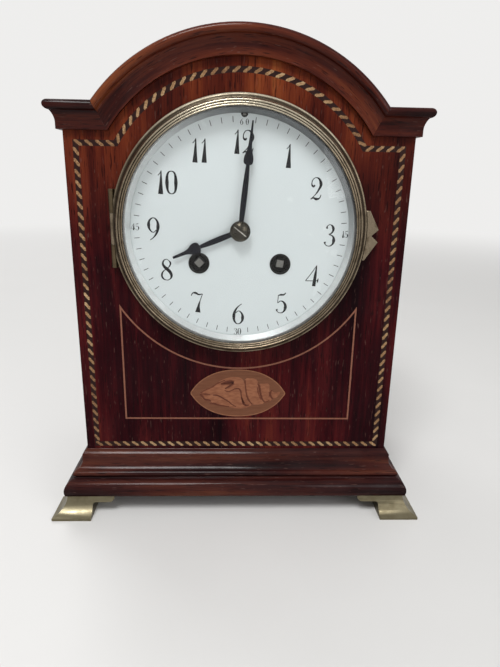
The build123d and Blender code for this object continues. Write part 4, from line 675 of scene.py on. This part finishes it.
# ---------------------------------------------------------------------------------------------
# The dial's figures: hours in upright numerals with thick and thin strokes, a ring of fine minute
# strokes, and small figures at the quarters, all painted in black enamel and fired.
nought = [
    (0.265, 0.985, 0.03), (0.07, 0.5, 0.145), (0.265, 0.015, 0.03), (0.46, 0.5, 0.145),
    (0.265, 0.985, 0.03)]
six = [
    (0.45, 1.0, 0.02), (0.31, 0.90, 0.04), (0.16, 0.70, 0.085), (0.08, 0.40, 0.135),
    (0.14, 0.11, 0.07), (0.28, 0.015, 0.03), (0.44, 0.11, 0.07), (0.50, 0.33, 0.13),
    (0.43, 0.57, 0.06), (0.30, 0.655, 0.025), (0.17, 0.56, 0.03)]
figures = {
    "0": [nought],
    "1": [[(0.225, 1.0, 0.02), (0.20, 0.5, 0.11), (0.175, 0.0, 0.205)],
          [(0.08, 0.80, 0.015), (0.16, 0.88, 0.025), (0.22, 0.985, 0.02)]],
    "2": [[(0.20, 0.66, 0.05), (0.13, 0.60, 0.085), (0.05, 0.74, 0.04), (0.24, 0.98, 0.03),
           (0.46, 0.74, 0.125), (0.37, 0.45, 0.07), (0.20, 0.21, 0.03), (0.03, 0.05, 0.015)],
          [(0.03, 0.04, 0.02), (0.14, 0.10, 0.055), (0.28, 0.055, 0.11), (0.42, 0.09, 0.05),
           (0.49, 0.25, 0.015)]],
    "3": [[(0.13, 0.81, 0.09), (0.17, 0.94, 0.03), (0.29, 0.985, 0.025), (0.43, 0.83, 0.115),
           (0.38, 0.63, 0.06), (0.24, 0.55, 0.025)],
          [(0.24, 0.55, 0.025), (0.42, 0.47, 0.06), (0.48, 0.28, 0.135), (0.40, 0.07, 0.06),
           (0.25, 0.015, 0.025), (0.10, 0.09, 0.035), (0.07, 0.21, 0.095)]],
    "4": [[(0.52, 0.99, 0.03), (0.47, 0.5, 0.12), (0.42, 0.0, 0.15)],
          [(0.52, 0.98, 0.02), (0.27, 0.60, 0.018), (0.02, 0.26, 0.02)],
          [(0.02, 0.255, 0.03), (0.35, 0.255, 0.02), (0.60, 0.265, 0.03)],
          [(0.62, 0.37, 0.015), (0.60, 0.28, 0.06), (0.59, 0.17, 0.015)]],
    "5": [[(0.12, 0.86, 0.02), (0.24, 0.90, 0.08), (0.38, 0.905, 0.07), (0.49, 1.0, 0.015)],
          [(0.13, 0.86, 0.02), (0.12, 0.68, 0.018), (0.11, 0.50, 0.02)],
          [(0.11, 0.50, 0.02), (0.27, 0.60, 0.04), (0.45, 0.46, 0.10), (0.48, 0.28, 0.135),
           (0.39, 0.07, 0.06), (0.24, 0.015, 0.025), (0.10, 0.09, 0.035), (0.07, 0.20, 0.095)]],
    "6": [six],
    "7": [[(0.02, 0.80, 0.012), (0.09, 0.93, 0.045), (0.21, 0.945, 0.095), (0.38, 0.865, 0.065),
           (0.55, 0.90, 0.012)],
          [(0.55, 0.895, 0.02), (0.44, 0.58, 0.035), (0.36, 0.30, 0.10), (0.32, 0.0, 0.23)]],
    "8": [[(0.38, 0.93, 0.03), (0.26, 0.985, 0.03), (0.11, 0.80, 0.08), (0.18, 0.64, 0.115),
           (0.30, 0.53, 0.135), (0.44, 0.38, 0.13), (0.50, 0.21, 0.10), (0.42, 0.06, 0.04),
           (0.26, 0.015, 0.03), (0.08, 0.13, 0.075), (0.06, 0.29, 0.08), (0.14, 0.44, 0.045),
           (0.30, 0.555, 0.03), (0.43, 0.69, 0.055), (0.46, 0.82, 0.07), (0.38, 0.93, 0.03)]],
    "9": [[(0.58 - x, 1 - z, width) for x, z, width in six]],
}
figure_width = {"0": 0.53, "1": 0.30, "4": 0.62}
black_enamel, shader, place = finish("black_enamel", specular=0.15)
brushed = mottle(place, 800.0, 2.0)
mixed(brushed, (0.005, 0.005, 0.006, 1), (0.012, 0.011, 0.013, 1)).feeds(shader, "Base Color")
(0.25 + brushed * 0.2).feeds(shader, "Roughness")
dial_turn, dial_shift = radians(1.2), 0.4 * mm
paint, hairline = 0.03 * mm, 0.036


def number(text, turn, radius, height, gap, bold=1.12, stray=(0, 0)):
    """One number of the dial, upright, centred on its spot of the ring or a little off it."""
    turn += dial_turn
    advance = [figure_width.get(figure, 0.55) for figure in text]
    start = -(sum(advance) + gap * (len(text) - 1)) / 2
    strokes = []
    for figure, width in zip(text, advance):
        for stroke in figures[figure]:
            strokes.append([
                (x + start, z - 0.5, max(thick * bold, hairline)) for x, z, thick in stroke])
        start += width + gap
    across = dial_shift + radius * sin(turn) + stray[0] * mm
    rise = dial_z + radius * cos(turn) + stray[1] * mm
    spot = on_front(across, rise, 0, face_y - dial_y)
    laid(drawn("figure_" + text, strokes), spot, height, paint, black_enamel, "case")


strayed = {
    1: (0.0, -1.4), 2: (-1.0, 0.0), 3: (1.9, -1.0), 5: (0.9, 1.0), 8: (0.4, 0.7), 9: (-0.5, -0.8),
    10: (0.9, 0.1), 11: (0.3, -0.5), 12: (0.0, -1.7)}
hour_radius, hour_height = 50.4 * mm, 12.8 * mm
for hour in range(1, 13):
    stray = strayed.get(hour, (0, 0))
    number(str(hour), hour * pi / 6, hour_radius, hour_height, gap=0.10, stray=stray)
small_radius, small_height, small_bold = 61.4 * mm, 4.0 * mm, 1.3
for text, quarters in (("15", 1), ("30", 2), ("45", 3)):
    number(text, quarters * pi / 2, small_radius, small_height, gap=0.06, bold=small_bold)
top_radius, top_height = 59.2 * mm, 3.0 * mm
number("60", 0, top_radius, top_height, gap=0.5, bold=small_bold)

minute_stroke = started(bpy.ops.mesh.primitive_cube_add, size=1)
stroke_width, stroke_length = 0.36 * mm, 3.1 * mm
minute_stroke.data.transform(Matrix.Diagonal((stroke_width, stroke_length, paint, 1)))
worked(bpy.ops.mesh.bevel, offset=0.008 * mm, segments=1)
minutes = [minute * pi / 30 + dial_turn for minute in range(60) if minute % 15]
out, proud = 60.6 * mm, face_y - dial_y + paint / 2
spots = [on_front(dial_shift + out * sin(t), dial_z + out * cos(t), t, proud) for t in minutes]
minute_ring = set_out(minute_stroke, spots, "minute_ring")
minute_ring.data.materials.append(black_enamel)
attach(minute_ring, "case")


# ---------------------------------------------------------------------------------------------
# The bushes of the winding holes and the squares behind them: brass bushes painted nearly black as
# painted shade of the holes, and steel arbors filed square at the end for the key, painted darker
# towards the back as shade. The regulating square stands in the top hole.
# The bushes are painted nearly black: a painted shade of the dark winding holes.
painted_shade_bushes, shader, place = finish("painted_shade_bushes", specular=0.1)
bush_mottle = mottle(place, 600.0, 3.0)
mixed(bush_mottle, (0.005, 0.005, 0.005, 1), (0.012, 0.010, 0.008, 1)).feeds(shader, "Base Color")
(0.4 + bush_mottle * 0.3).feeds(shader, "Roughness")
dress(painted_shade_bushes, "winding_hole_bushes")
square_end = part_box("going_winding_arbor")[0].y
square_steel, shader, place = finish("square_steel", metallic=1.0)
filed = mottle(place, (1400.0, 200.0, 1400.0), 3.0)
depth = place.node("SeparateXYZ", {}, {0: place}, "Y")
shadowed = between(depth, square_end + 0.5 * mm, square_end + 3.0 * mm)
bare_steel = mixed(filed, (0.235, 0.232, 0.218, 1), (0.135, 0.130, 0.118, 1))
mixed(shadowed, bare_steel, (0.010, 0.009, 0.008, 1)).feeds(shader, "Base Color")
(0.30 + filed * 0.15).feeds(shader, "Roughness")
dress(square_steel, "going_winding_arbor", "strike_winding_arbor", "regulator_arbor")


# ---------------------------------------------------------------------------------------------
# The movement: two round brass plates held apart by pillars, with the strike train on the left, as
# seen from the front, and the going train on the right. Plates are grained and lacquered, wheels
# cut from hard sheet brass.
plate_brass = brass(
    "plate_brass", (0.56, 0.40, 0.165, 1), (0.42, 0.285, 0.11, 1), 0.26, 90.0, (0.36, 0.80))
dress(plate_brass, "front_plate", "back_plate", "going_barrel", "strike_barrel")
dress(
    train_brass, "intermediate_wheel", "centre_wheel", "third_wheel", "escape_wheel",
    "minute_wheel", "hour_wheel", "strike_second_wheel", "pin_wheel", "warning_wheel",
    "plate_pillars", "suspension_cock", "pendulum_bob")
dress(white_steel, "movement_screws", "pallet_anchor", "pendulum_rod", "fly", "hammer")
spring_steel = steel("spring_steel", (0.10, 0.105, 0.12, 1), (0.045, 0.05, 0.07, 1), 0.35)
dress(spring_steel, "going_mainspring", "strike_mainspring")


# ---------------------------------------------------------------------------------------------
# The hands: flat steel cut to a long taper with a pear near the point, polished and heated until it
# turned dark blue, nearly black. The minute hand lies over the hour hand.
blued = steel("blued_hand_steel", (0.014, 0.014, 0.020, 1), (0.008, 0.0075, 0.009, 1), 0.32)
stand_for(softened("hour_hand", 0.12 * mm), blued, "hour_hand")
stand_for(softened("minute_hand", 0.12 * mm), blued, "minute_hand")


# ---------------------------------------------------------------------------------------------
# The collet over the hands: a turned dome of tarnished nickel silver on the centre arbor's end,
# held by a thin tapered steel pin that goes through it.
dull_nickel = brass("dull_nickel", (0.052, 0.045, 0.034, 1), (0.020, 0.017, 0.013, 1), 0.22, 300.0)
dress(dull_nickel, "hand_collet")
collet_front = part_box("hand_collet")[0].y
pin_radius, pin_length, thin_end = 0.34 * mm, 8.6 * mm, 0.7
cross_pin = started(
    bpy.ops.mesh.primitive_cylinder_add, vertices=16, radius=pin_radius, depth=pin_length)
cross_pin.name = "collet_pin"
for corner in cross_pin.data.vertices:
    if corner.co.z > 0:
        corner.co.xy = corner.co.xy * thin_end
worked(bpy.ops.mesh.bevel, offset=0.08 * mm, segments=2)
bpy.ops.object.shade_smooth_by_angle(angle=radians(40))
pin_turn = Matrix.Rotation(radians(-52), 4, "Y")
cross_pin.data.transform(Matrix.Translation((0, collet_front + 0.1 * mm, dial_z)) @ pin_turn)
pin_steel = steel("pin_steel", (0.55, 0.53, 0.49, 1), (0.34, 0.32, 0.29, 1), 0.25)
cross_pin.data.materials.append(pin_steel)
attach(cross_pin, "centre_arbor")


# ---------------------------------------------------------------------------------------------
# The bezel: a spun and turned brass ring with a bright rim, a hollow that has gone brown, a round
# roll and two beads, hinged on the left. Its grooves are painted near-black as painted shade, its
# top is painted lighter as a painted highlight, and a finger tab is brazed on its right edge.
def bow(start, middle, end):
    """Points along a soft bow through three others, without the last."""
    start, middle, end = Vector(start), Vector(middle), Vector(end)
    points = []
    for step in range(10):
        t = step / 10
        first, second, third = (1 - t) * (1 - 2 * t), 4 * t * (1 - t), t * (2 * t - 1)
        points.append(start * first + middle * second + end * third)
    return points


bezel_back = 2.3
hinge_x, hinge_y = -73.1 * mm, face_y - bezel_back * mm


def upright(radius, low, high):
    """An upright cylinder on the bezel's hinge line, between two heights from the dial's centre."""
    middle = (hinge_x, hinge_y, dial_z + (low + high) / 2 * mm)
    return started(
        bpy.ops.mesh.primitive_cylinder_add, vertices=40, radius=radius * mm,
        depth=(high - low) * mm, location=middle)


def carved(piece, tool, how):
    """Joins a second shape to a piece, or cuts it away."""
    bpy.context.view_layer.objects.active = piece
    cut = piece.modifiers.new("cut", "BOOLEAN")
    cut.operation = how
    cut.object = tool
    bpy.ops.object.modifier_apply(modifier="cut")
    bpy.data.objects.remove(tool)


mouth, bore, rim = 66.3, 69.05, 73.8
bead_gap, roll_inside, roll_outside = 67.5, 68.7, 70.8
bead_foot, bead_radius = 10.1, 0.6
section = [(rim, bezel_back), (rim, 3.8), (73.65, 4.0)]
section += bow((73.2, 4.0), (71.76, 5.32), (roll_outside, 8.4))
section += bow((roll_outside, 8.4), (69.75, 10.7), (roll_inside, bead_foot))
for bead in (68.1, 66.9):
    for step in range(8):
        turn = pi * step / 8
        section.append((bead + bead_radius * cos(turn), bead_foot + bead_radius * sin(turn)))
section += [(mouth, bead_foot), (mouth, 9.5), (bore, 9.5), (bore, bezel_back)]
bezel = started(bpy.ops.mesh.primitive_circle_add, vertices=len(section))
bezel.name = "bezel_ring_turned"
for corner, (out, height) in zip(bezel.data.vertices, section):
    corner.co = (out * mm, 0, height * mm)
turning = bezel.modifiers.new("turning", "SCREW")
turning.steps = turning.render_steps = 240
turning.use_merge_vertices = True
turning.merge_threshold = merged_within
bpy.ops.object.modifier_apply(modifier="turning")
bezel.data.transform(on_front(0, dial_z, 0))
picked(bezel)
worked(bpy.ops.mesh.normals_make_consistent, inside=False)
gap_radius, gap_from, gap_to = 2.1, 8.6, 22.45
knuckle_radius, knuckle_end = 1.8, 8.8
pin_bore, bore_end = 0.95, 8.9
carved(bezel, upright(gap_radius, gap_from, gap_to), "DIFFERENCE")
carved(bezel, upright(gap_radius, -gap_to, -gap_from), "DIFFERENCE")
carved(bezel, upright(knuckle_radius, -knuckle_end, knuckle_end), "UNION")
carved(bezel, upright(pin_bore, -bore_end, bore_end), "DIFFERENCE")
picked(bezel)
bpy.ops.object.shade_smooth_by_angle(angle=radians(30))

cast = ((0.208, 0.166, 0.116, 1), (0.078, 0.057, 0.036, 1))
# The pale tone of the painted highlight on the ring's top.
painted_highlight_tone = (0.50, 0.445, 0.340, 1)
bezel_brass, shader, place = finish("bezel_brass", metallic=1.0)
from_axis = place.node("Mapping", {}, {
    "Vector": place, "Location": (0, 0, -dial_z), "Scale": (1, 0, 1)})
radius = from_axis.node("VectorMath", {"operation": "LENGTH"}, {0: from_axis}, "Value")
hollow = between(radius, 70.7 * mm, 71.2 * mm) * (1 - between(radius, 72.9 * mm, 73.2 * mm))
# Near-black lines in the grooves between rim, roll and beads and at the mouth: painted shade.
painted_groove_shade = 0
for groove in (mouth, bead_gap, roll_inside, roll_outside):
    off = radius - groove * mm
    off = off.node("Math", {"operation": "ABSOLUTE"}, {0: off})
    painted_groove_shade = painted_groove_shade + (1 - between(off, 0.08 * mm, 0.3 * mm))
tarnish = between(mottle(place, 140.0, 5.0, 0.65), 0.42, 0.74)
# The top of the ring is painted lighter, towards the pale tone: a painted highlight of the light
# from above.
upwards = place.node("SeparateXYZ", {}, {0: place}, "Z")
wear_and_painted_highlight = between(upwards, dial_z + 35 * mm, dial_z + 72 * mm)
highlighted_cast_tone = mixed(wear_and_painted_highlight * (0.9 - tarnish * 0.4), mixed(tarnish, *cast), painted_highlight_tone)
hollow_tone = mixed(hollow * 0.8, highlighted_cast_tone, (0.040, 0.030, 0.020, 1))
mixed(painted_groove_shade * 0.9, hollow_tone, (0.012, 0.009, 0.006, 1)).feeds(shader, "Base Color")
(0.27 + tarnish * 0.10 + hollow * 0.10).feeds(shader, "Roughness")
stand_for(bezel, bezel_brass, "bezel_ring")
tab_brass = brass("tab_brass", *cast, 0.26, 170.0)
stand_for(softened("bezel_pull_tab", 0.3 * mm), tab_brass, "bezel_pull_tab")
dress(white_steel, "hinge_pins")


# ---------------------------------------------------------------------------------------------
# The sight ring: a sloping slip of silvered brass between the glass and the dial, turned smooth.
# Age has dulled it in patches. Its top and right are painted dark: painted shade and reflection.
silver, shader, place = finish("silvered_slip", metallic=0.9)
dull_patch = mottle(place, 80.0, 4.0)
across, upwards = (place.node("SeparateXYZ", {}, {0: place}, axis) for axis in "XZ")
# Darker towards the top and the right: a painted shade under the bezel and a painted dark
# reflection.
painted_shade_top_right = between(upwards + across * 0.6, dial_z + 5 * mm, dial_z + 68 * mm)
bare_silver = mixed(dull_patch, (0.93, 0.935, 0.935, 1), (0.83, 0.83, 0.825, 1))
mixed(painted_shade_top_right * 0.80, bare_silver, (0.085, 0.086, 0.092, 1)).feeds(shader, "Base Color")
(0.30 + dull_patch * 0.14).feeds(shader, "Roughness")
dress(silver, "sight_ring")


# ---------------------------------------------------------------------------------------------
# The glass: a clear blown dome, ground to fit behind the bezel's lip, where the sight ring holds it.
# Its polished face mirrors the room more towards the edge.
clear_glass = bpy.data.materials.new("clear_dome_glass")
clear_glass.use_nodes = True
glass_tree = clear_glass.node_tree
glass_tree.nodes.remove(glass_tree.nodes["Principled BSDF"])
glass = Wire(glass_tree)
smears = mottle(glass.node("TexCoord", output="Object"), 60.0, 3.0)
through = glass.node("BsdfTransparent", {}, {"Color": (0.985, 0.99, 0.988, 1)})
polish = glass.node("BsdfGlossy", {}, {"Color": (1, 1, 1, 1), "Roughness": 0.02})
glint = glass.node("Fresnel", {}, {"IOR": 1.45}) * (0.26 + smears * 0.14)
glass.node("MixShader", {}, {0: glint, 1: through, 2: polish}).feeds(
    glass_tree.nodes["Material Output"], "Surface")
dress(clear_glass, "bezel_glass")


# ---------------------------------------------------------------------------------------------
# The back door and its knob: a spun brass disc on an upright hinge that shuts on the back ring,
# with a turned knob to pull it by. Handling has left soft brown clouds on it.
door_brass = brass(
    "door_brass", (0.36, 0.272, 0.137, 1), (0.262, 0.186, 0.092, 1), 0.33, 45.0, (0.32, 0.82))
dress(door_brass, "back_door")
stand_for(softened("back_door_knob", 0.25 * mm), door_brass, "back_door_knob")


# ---------------------------------------------------------------------------------------------
# The gong: a long coil of round steel wire, blued, held at its outer end by a post on the base
# board. The hammer strikes it just above the post.
gong_steel = steel("gong_steel", (0.075, 0.085, 0.14, 1), (0.035, 0.036, 0.055, 1), 0.32)
dress(gong_steel, "gong")
